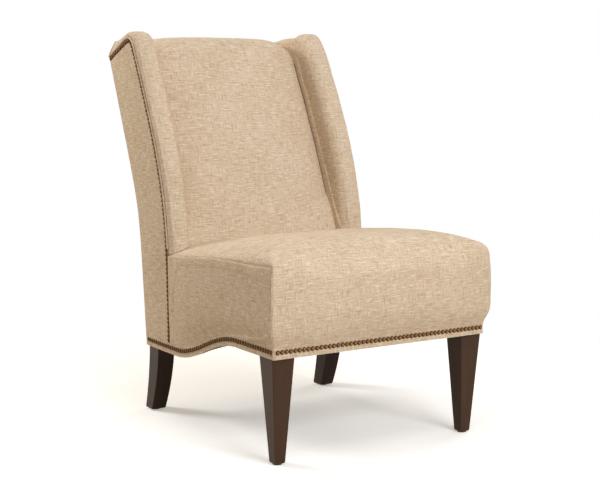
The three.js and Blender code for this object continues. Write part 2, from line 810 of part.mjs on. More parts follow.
// The outline of a flat piece on the side of the wing: the lower edge, the rear edge and the wing edge,
// which is drawn outside the nail line by a reach that may change with height.
function sideOutline({ reach, rearGap, lift, frontEnd, lowest }) {
  const heights = outlineHeights(rearBaseHeight, shoulderHeight);
  const rear = heights.map((height) => [rearFace(height) - rearGap, height]);
  rear[0] = [rear[0][0], rearBaseHeight + lift];
  const lower = [frontEnd, ...ogeeDepths().filter((depth) => depth > frontEnd)];
  const front = cornersOf(wingPath(lowest)).map((station) => wingSide(0, station, reach(station.point.y)));
  const rearEnd = rear[rear.length - 1][0];
  const kept = front.filter((p) => p.y < rearEnd).map((p) => [p.y, p.z]);
  return { lower: lower.map((depth) => [depth, baseEdge(depth) + lift]), rear, front: kept.reverse() };
}

const mirroredSpan = (side, near, far) => (side < 0 ? [-far, -near] : [near, far]);

function outsideWingCover(side) {
  const frontEnd = wingFrontDepth - panelReach;
  const { lower, rear, front } = sideOutline({
    reach: () => panelReach,
    rearGap: bodyCornerRadius + 2 * touchGap,
    lift: 0,
    frontEnd,
    lowest: baseEdge(frontEnd) + nailBand,
  });
  return board([...lower, ...rear, ...front], ...mirroredSpan(side, halfWidth - coverThickness, halfWidth));
}

function sideFrame(side) {
  const { lower, rear, front } = sideOutline({
    reach: plyEdge,
    rearGap: bodyCornerRadius + coverThickness,
    lift: frameRise,
    frontEnd: frameFront,
    lowest: railTopHeight + plyThickness,
  });
  const armEnd = front[front.length - 1][0];
  const outline = [...lower, ...rear, ...front, [armEnd, railTopHeight], [frameFront, railTopHeight]];
  return board(outline, ...mirroredSpan(side, plyInner, plyOuter));
}

// Outside back: a cloth panel stretched over the rear of the frame and round its corners.
const shoulderColumns = [0, 1, 2, 4, 6, 8];
const rearMiddleSteps = 3;

function outsideBackCover() {
  const end = cornersOf(wingPath(wingStartHeight)).pop();
  const shoulder = shoulderColumns.map((i) => {
    const [across, out] = rollShares[i];
    const x = wingMiddle + (wingThickness / 2) * across;
    const low = across > 0 ? lipReach : rollReach * tableAt(innerReachShares, 1);
    return [x, wingSide(x, end, mix(low, rollReach * shoulderShare, rollOut([across, out], 1))).z];
  });
  shoulder[0][1] = shoulderHeight;
  shoulder[shoulder.length - 1][1] = backRearHeight;
  const middleShares = spaced(rearMiddleSteps).slice(1, -1);
  const middle = middleShares.map((share) => [mix(wingInner, -wingInner, share), backRearHeight]);
  const mirrored = shoulder.map(([x, z]) => [-x, z]).reverse();
  const columns = [...shoulder, ...middle, ...mirrored].map(([x, top]) => {
    const heights = outlineHeights(rearBaseHeight, shoulderHeight);
    heights[heights.length - 1] = top;
    return heights.map((height) => pt(x, rearFace(height) - cornerInset(x), height));
  });
  const outer = columns[0].map((_, row) => columns.map((column) => column[row]));
  const inner = outer.map((row) => row.map((p) => {
    const x = clamp(p.x, coverThickness - halfWidth, halfWidth - coverThickness);
    return pt(x, p.y - (Math.abs(p.x) < halfWidth - touchGap ? coverThickness : 0), p.z);
  }));
  return slab(outer, inner);
}

// Nailhead trim: touching domes in one strip, with the joint between two nails pinched low and narrow.

const nailTaperShare = 0.35;
const nailValleyShare = 0.3;
const baseNailSteps = 40;

function nailStrip(points, lift) {
  const length = pathLength(points);
  const count = Math.round(length / nailPitch);
  const path = stations(points, 2 * count);
  const rings = path.map(({ point, outward }, i) => {
    const between = i % 2 === 0;
    const half = (nailDiameter / 2) * (between ? nailTaperShare : 1);
    const top = nailHeight * (between ? nailValleyShare : 1);
    const low = point.clone().addScaledVector(outward, -half);
    const high = point.clone().addScaledVector(outward, half);
    return [lift(low, 0), lift(point, top), lift(high, 0)];
  });
  return loft(rings);
}

function frontNails() {
  const height = frontBaseHeight + nailRise;
  const end = halfWidth - nailDiameter / 2;
  const points = [new THREE.Vector2(-end, height), new THREE.Vector2(end, height)];
  return nailStrip(points, (p, out) => pt(p.x, -touchGap - out, p.y));
}

function baseNails(side) {
  const from = nailDiameter / 2;
  const to = rearFace(rearBaseHeight) - bodyCornerRadius - nailDiameter / 2;
  const points = spaced(baseNailSteps).map((share) => {
    const depth = mix(from, to, share);
    return new THREE.Vector2(depth, baseEdge(depth) + nailRise);
  });
  return nailStrip(points, (p, out) => pt(side * (halfWidth + touchGap + out), p.x, p.y));
}

function wingNails(side) {
  const lowest = baseEdge(wingFrontDepth) + nailRise + nailDiameter;
  const points = wingPath(lowest);
  return nailStrip(points, (p, out) => pt(side * (halfWidth + touchGap + out), p.x, p.y));
}

// Legs

const glideSides = 16;
const glideLipShare = 0.33;
const sweepSteps = 8;
const sweepPower = 1.7;

function squareRing(width, depthSize, chamfer, x, depth, height) {
  const [w, d] = [width / 2, depthSize / 2];
  const corners = [[w, d - chamfer], [w - chamfer, d], [chamfer - w, d], [-w, d - chamfer]];
  const mirrored = corners.map(([cx, cy]) => [-cx, -cy]);
  return [...corners, ...mirrored].map(([cx, cy]) => pt(x + cx, depth + cy, height));
}

const rearBoltDepth = rearLegTopCentre - rearBoltLead;
const rearBoltX = (side) => side * (halfWidth - rearLegInset - rearBoltShift);

function frontLeg(side) {
  const x = side * (halfWidth - frontLegInset);
  const top = frontBaseHeight + frameRise - touchGap;
  const foot = glideThickness + touchGap;
  const rings = [
    squareRing(frontLegFoot - legChamfer, frontLegFoot - legChamfer, edgeEase, x, frontLegDepth, foot),
    squareRing(frontLegFoot, frontLegFoot, edgeEase, x, frontLegDepth, foot + legChamfer),
    squareRing(frontLegTop, frontLegTop, edgeEase, x, frontLegDepth, top),
  ];
  return drilled(loft(rings), { x, depth: frontLegDepth, top }, { x, depth: frontLegDepth });
}

function rearLeg(side) {
  const x = side * (halfWidth - rearLegInset);
  const footX = x + side * rearFootSpread;
  const top = rearBaseHeight + frameRise - touchGap;
  const foot = glideThickness + touchGap;
  const sweep = spaced(sweepSteps).map((share) => {
    const bend = (1 - share) ** sweepPower;
    const width = mix(rearLegTopWidth, rearLegFootWidth, bend);
    const deep = mix(rearLegTopDepth, rearLegFootDepth, bend);
    const depth = mix(rearLegTopCentre, rearLegFootCentre, bend);
    const height = mix(foot + legChamfer, top, share);
    return squareRing(width, deep, edgeEase, mix(x, footX, bend), depth, height);
  });
  const sole = squareRing(rearLegFootWidth - legChamfer, rearLegFootDepth - legChamfer, edgeEase, footX,
    rearLegFootCentre, foot);
  const pin = { x: footX, depth: rearLegFootCentre };
  return drilled(loft([sole, ...sweep]), { x: rearBoltX(side), depth: rearBoltDepth, top }, pin);
}

function drilled(leg, bolt, pin) {
  const boltRadius = boltDiameter / 2 + touchGap;
  const boltHole = post(boltRadius, boltReach + boltDiameter, bolt.x, bolt.depth, bolt.top - boltReach);
  const pinLength = glidePinLength + glidePinDiameter;
  const pinHole = post(glidePinDiameter / 2 + touchGap, pinLength, pin.x, pin.depth, 0, glideSides / 2);
  return cut(leg, boltHole, pinHole);
}

function glide(x, depth) {
  const profile = [
    [0, 0],
    [glideDiameter / 2 - touchGap * 2, 0],
    [glideDiameter / 2, glideThickness * glideLipShare],
    [glideDiameter / 2, glideThickness],
    [glidePinDiameter / 2, glideThickness],
    [glidePinDiameter / 2, glidePinLength],
    [0, glidePinLength + glidePinDiameter / 2],
  ].map(([radius, height]) => new THREE.Vector2(radius, height));
  return new THREE.LatheGeometry(profile, glideSides).rotateX(Math.PI / 2).translate(x, depth, 0);
}

// A leg bolt passes through the corner block, where a washer and a nut draw the leg tight.
function legBolt(x, depth, frameBase) {
  const shankBase = frameBase - boltReach + touchGap * 4;
  const shank = post(boltDiameter / 2, boltReach + blockHeight + nutHeight, x, depth, shankBase);
  const seat = frameBase + blockHeight + touchGap;
  const washer = post(washerDiameter / 2, washerThickness, x, depth, seat);
  const nut = post(nutWidth / 2, nutHeight, x, depth, seat + washerThickness / 2, nutSides);
  return join(shank, washer, nut);
}

// A corner block: a triangular cleat between the side panel and a cross rail, bored for the leg bolt.
function cornerBlock(side, depth, direction, base, boltX, boltDepth) {
  const outer = plyInner - touchGap;
  const blunt = blockReach / 3;
  const corners = [
    [outer, depth],
    [outer, depth + direction * blockReach],
    [outer - blunt, depth + direction * blockReach],
    [outer - blockReach, depth + direction * blunt],
    [outer - blockReach, depth],
  ];
  const ring = (height) => corners.map(([x, d]) => pt(side * x, d, height));
  const bore = post(boltDiameter / 2 + touchGap, blockHeight * 2, boltX, boltDepth, base - blockHeight / 2);
  return cut(loft([ring(base), ring(base + blockHeight)]), bore);
}

// Rails

function frontRail() {
  const base = frontBaseHeight + frameRise;
  return block(betweenPlies, railThickness, railTopHeight - base, 0, frameFront, base);
}

const rearSeatRail = () => block(betweenPlies, railThickness, seatRailHeight, 0, rearSeatRailDepth,
  railTopHeight - seatRailHeight);

const bottomRailDepth = () => rearFace(rearBaseHeight) - coverThickness - 2 * touchGap - railThickness;

const bottomRail = () => block(betweenPlies, railThickness, bottomRailRise, 0, bottomRailDepth(),
  rearBaseHeight + frameRise);

function leaningRail(low, high, frontAt, rearAt) {
  const outline = [[rearAt(low), low], [rearAt(high), high], [frontAt(high), high], [frontAt(low), low]];
  return board(outline, -betweenPlies / 2, betweenPlies / 2);
}

const behindWebbing = (height) => webbingPlane(height) + webbingThickness + touchGap;

function lowerBackRail() {
  const rear = (height) => behindWebbing(height) + railThickness;
  return leaningRail(lowerRailHeight, lowerRailHeight + backRailRise, behindWebbing, rear);
}

function topBackRail() {
  const rear = (height) => rearFace(height) - coverThickness - 2 * touchGap;
  return leaningRail(topRailHeight, topRailHeight + topRailRise, behindWebbing, rear);
}

// Springs and webbing

const springCount = 4;
const stepsPerLoop = 4;
const wireSides = 4;
const clipWidthShare = 0.6;
const clipDepthShare = 0.8;
const insulatorSteps = 14;
const strapCount = 3;
const crossStrapShares = [0.35, 0.68];

// Places of a row of like pieces, spread evenly about the middle of the chair.
function centred(count, spacing) {
  return Array.from({ length: count }, (_, i) => (i - (count - 1) / 2) * spacing);
}

// A sinuous spring: flat square-ended loops of wire, arched front to rear, with a clip at each end.
function seatSpring(x) {
  const start = frameFront + railThickness / 2;
  const end = springSpan();
  const loops = Math.round((end - start) / springPitch);
  const steps = loops * stepsPerLoop;
  const points = spaced(steps).map((share, i) => {
    const swing = Math.sin((i * Math.PI) / 2 + Math.PI / 4) * Math.SQRT2;
    const depth = mix(start, end, share);
    const edge = Math.min(i, steps - i) / 2;
    const across = (springLoopWidth / 2) * swing * Math.min(edge, 1);
    return pt(x + across, depth, wireHeight + platform(depth));
  });
  const wire = rod(points, wireDiameter / 2, wireSides, pt(0, 0, 1));
  const clipWidth = springLoopWidth * clipWidthShare;
  const clipDepth = railThickness * clipDepthShare;
  const clip = (depth) => block(clipWidth, clipDepth, clipThickness + wireDiameter / 2, x,
    depth - clipDepth / 2, railTopHeight + touchGap / 3);
  return join(wire, clip(start), clip(end));
}

function sheetAlong(depths, width, heightAt, thickness) {
  const rows = (lift) => depths.map((depth) => {
    const half = width(depth) / 2;
    return [pt(-half, depth, heightAt(depth) + lift), pt(half, depth, heightAt(depth) + lift)];
  });
  return slab(rows(thickness), rows(0));
}

function springInsulator() {
  const end = rearSeatRailDepth;
  const depths = spaced(insulatorSteps).map((share) => mix(frameFront + railThickness / 4, end, share));
  const height = (depth) => insulatorBase + platform(depth);
  return sheetAlong(depths, () => betweenPlies - railThickness, height, insulatorThickness);
}

function uprightStrap(x) {
  const [low, high] = [lowerRailHeight, topRailHeight + topRailRise];
  const outline = [low, high].map((height) => [webbingPlane(height), height]);
  const rear = outline.map(([depth, height]) => [depth + webbingThickness, height]).reverse();
  return board([...outline, ...rear], x - webbingWidth / 2, x + webbingWidth / 2);
}

function crossStrap(height) {
  const outline = [height, height + webbingWidth].map((z) => [behindWebbing(z), z]);
  const rear = outline.map(([depth, z]) => [depth + webbingThickness, z]).reverse();
  return board([...outline, ...rear], -betweenPlies / 2, betweenPlies / 2);
}

// The dust cover closes the underside; it is narrower where it passes between the legs.
function dustCover() {
  const legInner = halfWidth - frontLegInset - frontLegTop / 2 - dustClearance;
  const wide = halfWidth - 2 * coverThickness;
  const frontEnd = frontLegDepth + frontLegTop / 2 + dustClearance;
  const rearStart = rearLegTopCentre - rearLegTopDepth / 2 - dustClearance;
  const rearEnd = rearFace(rearBaseHeight) - 2 * coverThickness;
  const free = [frontEnd + coverThickness, ...ogeeDepths(), rearStart - coverThickness];
  const depths = [2 * coverThickness, frontEnd, ...free, rearStart, rearEnd];
  const width = (depth) => 2 * (depth > frontEnd && depth < rearStart ? wide : legInner);
  const height = (depth) => baseEdge(depth) + frameRise - dustCoverThickness - touchGap;
  return sheetAlong(depths, width, height, dustCoverThickness);
}

// Materials

function finish(color, roughness, metalness = 0) {
  return new THREE.MeshStandardMaterial({ color, roughness, metalness });
}

const fabric = finish(0xcdb48f, 0.95);
const foamFill = finish(0xe9dfb4, 0.9);
const darkWood = finish(0x3a2218, 0.35);
const frameWood = finish(0xb98d5c, 0.7);
const plywood = finish(0xc9a673, 0.7);
const bronze = finish(0x6e5230, 0.4, 0.8);
const steel = finish(0x8d8f92, 0.4, 0.9);
const webbing = finish(0x2f2b28, 0.9);
const blackCloth = finish(0x1c1b1b, 0.95);
const insulatorCloth = finish(0xb59a6d, 0.95);
const nylon = finish(0x2a2928, 0.5);

// The sides draw in towards the rear, by a share of the depth.
const drawInShare = 0.018;

function drawnIn(geometry) {
  const position = geometry.getAttribute('position');
  for (let i = 0; i < position.count; i++) {
    const across = clamp(position.getX(i) / wingInner, -1, 1);
    position.setX(i, position.getX(i) - across * drawInShare * position.getY(i));
  }
  return geometry;
}

// The chair

function slipperChair() {
  const chair = new THREE.Group();
  const add = (name, geometry, material) => {
    geometry.deleteAttribute('uv');
    const mesh = new THREE.Mesh(drawnIn(geometry), material);
    mesh.name = name;
    chair.add(mesh);
  };
  const seat = seatParts();
  add('seat_cover', seat.cover, fabric);
  add('seat_side_cover_left', seat.left, fabric);
  add('seat_side_cover_right', seat.right, fabric);
  add('seat_foam', seat.foam, foamFill);

  const back = backParts();
  add('inside_back_cover', back.cover, fabric);
  add('back_foam', back.foam, foamFill);
  add('outside_back_cover', outsideBackCover(), fabric);

  const frameBases = { front: frontBaseHeight + frameRise, rear: rearBaseHeight + frameRise };
  for (const [label, side] of [['left', -1], ['right', 1]]) {
    const wing = wingParts(side);
    add(`wing_cover_${label}`, wing.cover, fabric);
    add(`wing_foam_${label}`, wing.foam, foamFill);
    add(`wing_welt_${label}`, wing.welt, fabric);
    add(`outside_wing_cover_${label}`, outsideWingCover(side), fabric);
    add(`side_frame_${label}`, sideFrame(side), plywood);
    add(`nail_trim_base_${label}`, baseNails(side), bronze);
    add(`nail_trim_wing_${label}`, wingNails(side), bronze);

    const frontX = side * (halfWidth - frontLegInset);
    const rearX = side * (halfWidth - rearLegInset);
    const rearFootX = rearX + side * rearFootSpread;
    add(`front_leg_${label}`, frontLeg(side), darkWood);
    add(`rear_leg_${label}`, rearLeg(side), darkWood);
    add(`front_glide_${label}`, glide(frontX, frontLegDepth), nylon);
    add(`rear_glide_${label}`, glide(rearFootX, rearLegFootCentre), nylon);
    const frontBlockDepth = frameFront + railThickness + touchGap;
    const rearBlockDepth = bottomRailDepth() - touchGap;
    add(`front_corner_block_${label}`,
      cornerBlock(side, frontBlockDepth, 1, frameBases.front, frontX, frontLegDepth), frameWood);
    add(`rear_corner_block_${label}`,
      cornerBlock(side, rearBlockDepth, -1, frameBases.rear, rearBoltX(side), rearBoltDepth), frameWood);
    add(`front_leg_bolt_${label}`, legBolt(frontX, frontLegDepth, frameBases.front), steel);
    add(`rear_leg_bolt_${label}`, legBolt(rearBoltX(side), rearBoltDepth, frameBases.rear), steel);
  }
  add('nail_trim_front', frontNails(), bronze);
  add('front_rail', frontRail(), frameWood);
  add('rear_seat_rail', rearSeatRail(), frameWood);
  add('bottom_back_rail', bottomRail(), frameWood);
  add('lower_back_rail', lowerBackRail(), frameWood);
  add('top_back_rail', topBackRail(), frameWood);

  centred(springCount, springSpacing).forEach((x, i) => add(`seat_spring_${i + 1}`, seatSpring(x), steel));
  add('spring_insulator', springInsulator(), insulatorCloth);
  centred(strapCount, webbingSpacing).forEach((x, i) => {
    add(`back_strap_${i + 1}`, uprightStrap(x), webbing);
  });
  const strapHeights = crossStrapShares.map((share) => mix(lowerRailHeight, topRailHeight, share));
  strapHeights.forEach((height, i) => add(`back_cross_strap_${i + 1}`, crossStrap(height), webbing));
  add('dust_cover', dustCover(), blackCloth);
  return chair;
}

// The chair is centred over the origin by its overall length.
const chair = slipperChair();
chair.position.y = -new THREE.Box3().setFromObject(chair).getCenter(new THREE.Vector3()).y;

export default chair;
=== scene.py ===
import json
import math

import bmesh
import bpy
import numpy as np
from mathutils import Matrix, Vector


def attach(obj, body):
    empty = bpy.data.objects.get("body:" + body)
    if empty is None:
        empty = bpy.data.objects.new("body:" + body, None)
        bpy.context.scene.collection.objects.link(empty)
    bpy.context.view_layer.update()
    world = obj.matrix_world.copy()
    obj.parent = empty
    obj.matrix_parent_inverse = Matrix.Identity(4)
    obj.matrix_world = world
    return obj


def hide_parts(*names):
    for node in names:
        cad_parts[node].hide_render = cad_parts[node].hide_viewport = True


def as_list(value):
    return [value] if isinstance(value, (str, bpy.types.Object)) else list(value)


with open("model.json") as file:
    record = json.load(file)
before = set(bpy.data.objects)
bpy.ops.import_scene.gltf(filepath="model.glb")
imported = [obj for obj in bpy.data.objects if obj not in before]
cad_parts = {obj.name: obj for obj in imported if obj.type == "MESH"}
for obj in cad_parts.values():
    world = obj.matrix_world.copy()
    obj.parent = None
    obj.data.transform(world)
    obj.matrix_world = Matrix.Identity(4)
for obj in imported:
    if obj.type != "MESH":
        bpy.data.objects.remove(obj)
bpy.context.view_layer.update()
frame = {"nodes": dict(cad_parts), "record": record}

# Body of the chair
FRONT_LINE = -428.29
HALF_WIDTH = 295.0
FRONT_BASE = 245.0
REAR_BASE = 171.0
OGEE_START = 169.0
OGEE_END = 477.0
COVER = 2.0
GAP = 0.3
CORNER_RADIUS = 8.0

# Seat
SEAM_HEIGHT = 445.0
SEAM_DROP = 28.0
SEAM_LEVEL = 120.0
SEAT_CROWN = 45.0
FRONT_BULGE = 18.0
SEAM_ARCH = 3.5
ARCH_DEPTH = 270.0
ARCH_REACH = 110.0
CORNER_RISE = 5.5
CORNER_REACH = 50.0
CORNER_BULGE = 12.0
SIDE_BULGE = 12.0
SEAM_SHARE = 0.55
TAPER_START = 0.78
TAPER_END = 0.15
CROWN_POWERS = (4.8, 24)
SQUARE_SHARE = 0.6
FRONT_POWERS = (2.6, 6.5)
FRONT_SHARES = (0.65, 0.6)
COLUMN_POWER = 0.92
DECK_HEIGHT = 341.9
SPRING_CROWN = 8.0
SPRING_SPAN = 605.0
BULGES = [0, 0, 0.82, 1, 0.96, 0.8]
CROWN_SHARES = [
    (0, 0.7), (0.02, 0.74), (0.06, 0.88), (0.12, 0.97),
    (0.22, 1), (0.4, 0.98), (0.7, 0.84), (1, 0.62),
]
BAND_SHARE = 0.42
TOP_ROWS = [0, 0.03, 0.08, 0.16, 0.28, 0.42, 0.56, 0.7, 0.82, 0.92, 1]

# Back and wings
WING_LINE = (514.0, 171.0, 0.0, 0.535, 572.0, 85.0)
REAR_LINE = (650.0, 171.0, 0.103, 0.442, 520.0, 35.0)
BACK_DEPTH = 528.0
BACK_FOOT = 445.0
BACK_RAKE = 0.348
BACK_BOW = 38.5
BACK_RISE = 448.0
BACK_CROWN = 35.0
BACK_TOP = 957.0
BACK_REAR = 942.0
TOP_TURN = 64.0
TUCK_DROP = 45.0
BACK_ROWS = [0, 0.1, 0.22, 0.36, 0.5, 0.64, 0.77, 0.89, 1]
WING_TIP = 951.0
TIP_RADIUS = 26.0
WING_START = 432.0
SHOULDER = 897.0
WING_THICKNESS = 60.0
ROLL_REACH = 35.0
SHOULDER_SHARE = 1.57
TUCK = 14.0
TURN_SHARE = 0.8
ROLL = [
    (1, 0), (0.965, 0.46), (0.84, 0.8), (0.53, 0.965), (0.06, 1),
    (-0.4, 0.94), (-0.74, 0.72), (-0.94, 0.4), (-1, 0),
]
ROLL_SHARES = [
    (0, 1), (0.72, 1), (0.79, 0.86), (0.83, 0.64),
    (0.865, 0.8), (0.93, 1.3), (0.955, 1.35), (1, SHOULDER_SHARE),
]
INNER_SHARES = [(0, 0), (0.84, 0), (0.92, 0.6), (1, 1.38)]
SLOPE_START = 0.8
DRAW_IN = 0.018

# Trim and frame
NAIL_DIAMETER = 10.8
NAIL_PITCH = 11.3
NAIL_RISE = 16.0
NAIL_HEIGHT = 3.4
WELT_DIAMETER = 4.6
WELT_LIFT = 1.25
PLY_THICKNESS = 16.0
LOWER_RAIL = (603.0, 455.0)
TOP_RAIL = (780.1, 860.0)
RAIL_RISE = 42.0

# Cloth: seams, creases and rows of nails sink into it, and stuffing swells it
SEAM_DEPTH = 2.8
SEAM_WIDTH = 2.6
SEAM_STEPS = np.array([0.8, 1.7, 2.8, 4.2, 6.0])
NAIL_DIP = 4.0
CREASES = [(8, 16), (10, 45)]
CREASE_SPREAD = 0.014
CREASE_WIDTH = 12.0
FOOT_SHARE = 0.25
FOOT_RISE = 70.0
PANEL_SWELL = 1.6
WELT_SWELL = 0.4
PAD_INSET = 2.8
OUTSIDE_BACK_LENGTH = 0.845
DUST_LIFT = 0.03
DUST_DIP = (230.0, 560.0)
SWELL_FRAMES = 20
STRETCHY = {
    "quality": 6, "mass": 0.3, "use_pressure": True, "uniform_pressure_force": 4.0,
    "tension_stiffness": 25, "compression_stiffness": 25,
    "shear_stiffness": 8, "bending_stiffness": 2,
}

# Nails and welt: points round them, and the profile of a nail as shares of its width and height
NAIL_SIDES = 14
NAIL_PROFILE = [(0.5, 0.0), (0.495, 0.2), (0.44, 0.52), (0.33, 0.8), (0.18, 0.96)]
WELT_SIDES = 12
WELT_POINTS = 260

# Stage, in metres: each light's place, target, width, power and colour
FLOOR_REACH = 30
FLOOR_GLOW = (0.375, 0.345, 0.31, 1)
FLOOR_LIT = (0.6, 0.53, 0.44, 1)
FLOOR_SEEN = (0.92, 0.935, 0.95, 1)
FLOOR_FLECK = (0.8, 0.8, 0.8, 1)
WHITE = (1, 1, 1, 1)
SKY = (1, 0.9, 0.73, 1)
SKY_STRENGTH = 0.19
LIGHTS = {
    "top": ((0, -0.7, 3.4), (0, 0, 0.3), 2.6, 42, (1, 0.995, 0.99)),
    "key": ((0.1, -2.9, 1.6), (0, 0, 0.45), 1.3, 53, (0.98, 1, 1.035)),
    "fill": ((2.6, 0.7, 1.8), (0.2, 0, 0.4), 1.4, 14, (1, 0.97, 0.93)),
    "side": ((-1.7, 1.9, 1.9), (-0.3, 0.2, 0.75), 1, 44, (1, 0.96, 0.9)),
}
CAMERA_PLACE = (-1.8331, -2.9540, 0.8726)
CAMERA_TARGET = (-0.00914, -0.0863, 0.42963)
CAMERA_LENS = 83.34

# Values that follow from the sizes above
WING_INNER = HALF_WIDTH - WING_THICKNESS
WING_MIDDLE = HALF_WIDTH - WING_THICKNESS / 2
PLY_OUTER = HALF_WIDTH - COVER - 2 * GAP
PLY_INNER = PLY_OUTER - PLY_THICKNESS
PANEL_REACH = NAIL_DIAMETER / 2 + GAP
NAIL_BAND = NAIL_RISE + NAIL_DIAMETER / 2 + COVER
SEAT_SIDE_END = WING_LINE[0] - PANEL_REACH - GAP
WELT_REACH = PANEL_REACH + GAP + WELT_DIAMETER / 2
LIP_REACH = WELT_REACH + WELT_DIAMETER / 2 + 4 * GAP
BACK_EDGE = WING_INNER - COVER
RAIL_TOP = TOP_RAIL[1] + RAIL_RISE

SIDES = ((-1, "left"), (1, "right"))
BORDERS = ("first", "last", "left", "right")


# Small functions

def mix(a, b, share):
    return a + (b - a) * share


def smooth(share):
    share = np.clip(share, 0, 1)
    return share * share * (3 - 2 * share)


def table_at(table, share):
    at, values = zip(*table)
    return np.interp(share, at, values)


def soft_table(table, share):
    """The table read along a curve without corners."""
    at, values = (np.array(column, float) for column in zip(*table))
    grid = values.reshape(-1, 1, 1)
    return hermite(grid, at, np.atleast_1d(np.asarray(share, float)))[:, 0, 0]


def base_edge(depth):
    share = np.clip((depth - OGEE_START) / (OGEE_END - OGEE_START), 0, 1)
    return mix(FRONT_BASE, REAR_BASE, (1 - np.cos(math.pi * share)) / 2)


def leaning(height, line):
    depth, start, lower, upper, knee, softness = line
    bend = softness * np.log1p(np.exp((height - knee) / softness))
    return depth + lower * (height - start) + (upper - lower) * bend


def wing_front(height):
    return leaning(height, WING_LINE)


def rear_face(height):
    return leaning(height, REAR_LINE)


def inside_back(height):
    climb = np.maximum(height - BACK_FOOT, 0)
    return BACK_DEPTH + BACK_RAKE * climb + BACK_BOW * (climb / BACK_RISE) ** 2


def seat_seam(depth):
    share = np.clip((depth - SEAM_LEVEL) / (WING_LINE[0] - SEAM_LEVEL), 0, 1.2)
    return SEAM_HEIGHT - SEAM_DROP * share ** 1.3


def seam_edge(depth):
    """The seam on the seat's side, lifted by the stuffing in its middle and at the front corner."""
    arch = SEAM_ARCH * np.exp(-((depth - ARCH_DEPTH) / ARCH_REACH) ** 2)
    return seat_seam(depth) + arch + CORNER_RISE * np.exp(-(depth / CORNER_REACH) ** 2)


def corner_inset(x):
    past = np.clip(np.abs(x) - (HALF_WIDTH - CORNER_RADIUS), 0, CORNER_RADIUS)
    return CORNER_RADIUS - np.sqrt(CORNER_RADIUS ** 2 - past ** 2)


def walked_along(points):
    """The distance walked at each point of a path, or of a grid along its first axis."""
    steps = np.linalg.norm(np.diff(points, axis=0), axis=-1)
    return np.concatenate([np.zeros_like(steps[:1]), np.cumsum(steps, axis=0)])


def unit(vectors):
    return vectors / np.maximum(np.linalg.norm(vectors, axis=-1, keepdims=True), 1e-9)


# Grids of points: arrays of rows, columns and three coordinates

def hermite(grid, knots, at):
    """Reads a grid along its first axis on a smooth curve through its rows."""
    steps = np.diff(knots)[:, None, None]
    slope = np.diff(grid, axis=0) / steps
    tangent = np.empty_like(grid, dtype=float)
    tangent[1:-1] = (slope[:-1] * steps[1:] + slope[1:] * steps[:-1]) / (steps[1:] + steps[:-1])
    tangent[0] = 1.5 * slope[0] - 0.5 * tangent[1]
    tangent[-1] = 1.5 * slope[-1] - 0.5 * tangent[-2]
    index = np.clip(np.searchsorted(knots, at, side="right") - 1, 0, len(steps) - 1)
    step = steps[index]
    t = (at - knots[index])[:, None, None] / step
    low, high = grid[index], grid[index + 1]
    return (
        low * (1 + 2 * t) * (1 - t) ** 2
        + tangent[index] * step * t * (1 - t) ** 2
        + high * t * t * (3 - 2 * t)
        + tangent[index + 1] * step * t * t * (t - 1)
    )


def refine(grid, *others, count, seams=()):
    """Reads grids of one shape at even rows, with closer rows by a seam at end 0 or 1."""
    knots = walked_along(grid).mean(axis=1)
    length = knots[-1]
    at = np.linspace(0, length, count)
    for end in seams:
        at = np.union1d(at, np.abs(end * length - SEAM_STEPS))
    return [hermite(g, knots, at) for g in (grid, *others)]


def turned(grid):
    return np.swapaxes(grid, 0, 1)


def refine_both(grid, *others, rows, columns, row_seams=(), column_seams=()):
    """The same for rows and columns."""
    down = refine(grid, *others, count=rows, seams=row_seams)
    across = refine(*[turned(g) for g in down], count=columns, seams=column_seams)
    return [turned(g) for g in across]


def outwards(grid, centre):
    """Unit normals of a grid, which point away from a place inside the chair."""
    normal = unit(np.cross(np.gradient(grid, axis=1), np.gradient(grid, axis=0)))
    return normal if np.sum(normal * (grid - np.array(centre, float))) > 0 else -normal


def area_of(grid):
    across = grid[:-1, 1:] - grid[:-1, :-1]
    down = grid[1:, :-1] - grid[:-1, :-1]
    return float(np.linalg.norm(np.cross(across, down), axis=2).sum()) / 1e6


def edge_distance(grid, side):
    """Every point's distance along the cloth to one border: first, last, left or right."""
    crossing = side in ("left", "right")
    walked = walked_along(turned(grid) if crossing else grid)
    if side in ("last", "right"):
        walked = walked[-1] - walked
    return walked.T if crossing else walked


def to_border(grid, *sides):
    """Every point's distance to the nearest of the named borders, or of all four."""
    return np.min([edge_distance(grid, side) for side in sides or BORDERS], axis=0)


# Meshes

def to_metres(points):
    """From widths, depths and heights in millimetres to places, the sides drawn in rearwards."""
    placed = np.array(points, float).reshape(-1, 3)
    placed[:, 0] -= np.clip(placed[:, 0] / WING_INNER, -1, 1) * DRAW_IN * placed[:, 1]
    placed[:, 1] += FRONT_LINE
    return placed / 1000


def add_object(name, data):
    obj = bpy.data.objects.new(name, data)
    bpy.context.scene.collection.objects.link(obj)
    return obj


def add_mesh(name, places, faces):
    """An object from places in metres."""
    mesh = bpy.data.meshes.new(name)
    mesh.from_pydata([tuple(p) for p in places], [], faces)
    return add_object(name, mesh)


def written_back(work, mesh, angle):
    """Ends a bmesh edit and smooths the mesh, but for edges sharper than an angle."""
    work.to_mesh(mesh)
    work.free()
    mesh.shade_smooth()
    mesh.set_sharp_from_angle(angle=math.radians(angle))


def mesh_object(name, points, faces):
    """A clean, smooth object from points in millimetres, its faces turned outwards."""
    obj = add_mesh(name, to_metres(points), faces)
    work = bmesh.new()
    work.from_mesh(obj.data)
    bmesh.ops.remove_doubles(work, verts=work.verts, dist=0.00002)
    bmesh.ops.dissolve_degenerate(work, edges=work.edges, dist=0.00001)
    bmesh.ops.recalc_face_normals(work, faces=work.faces)
    written_back(work, obj.data, 62)
    return obj


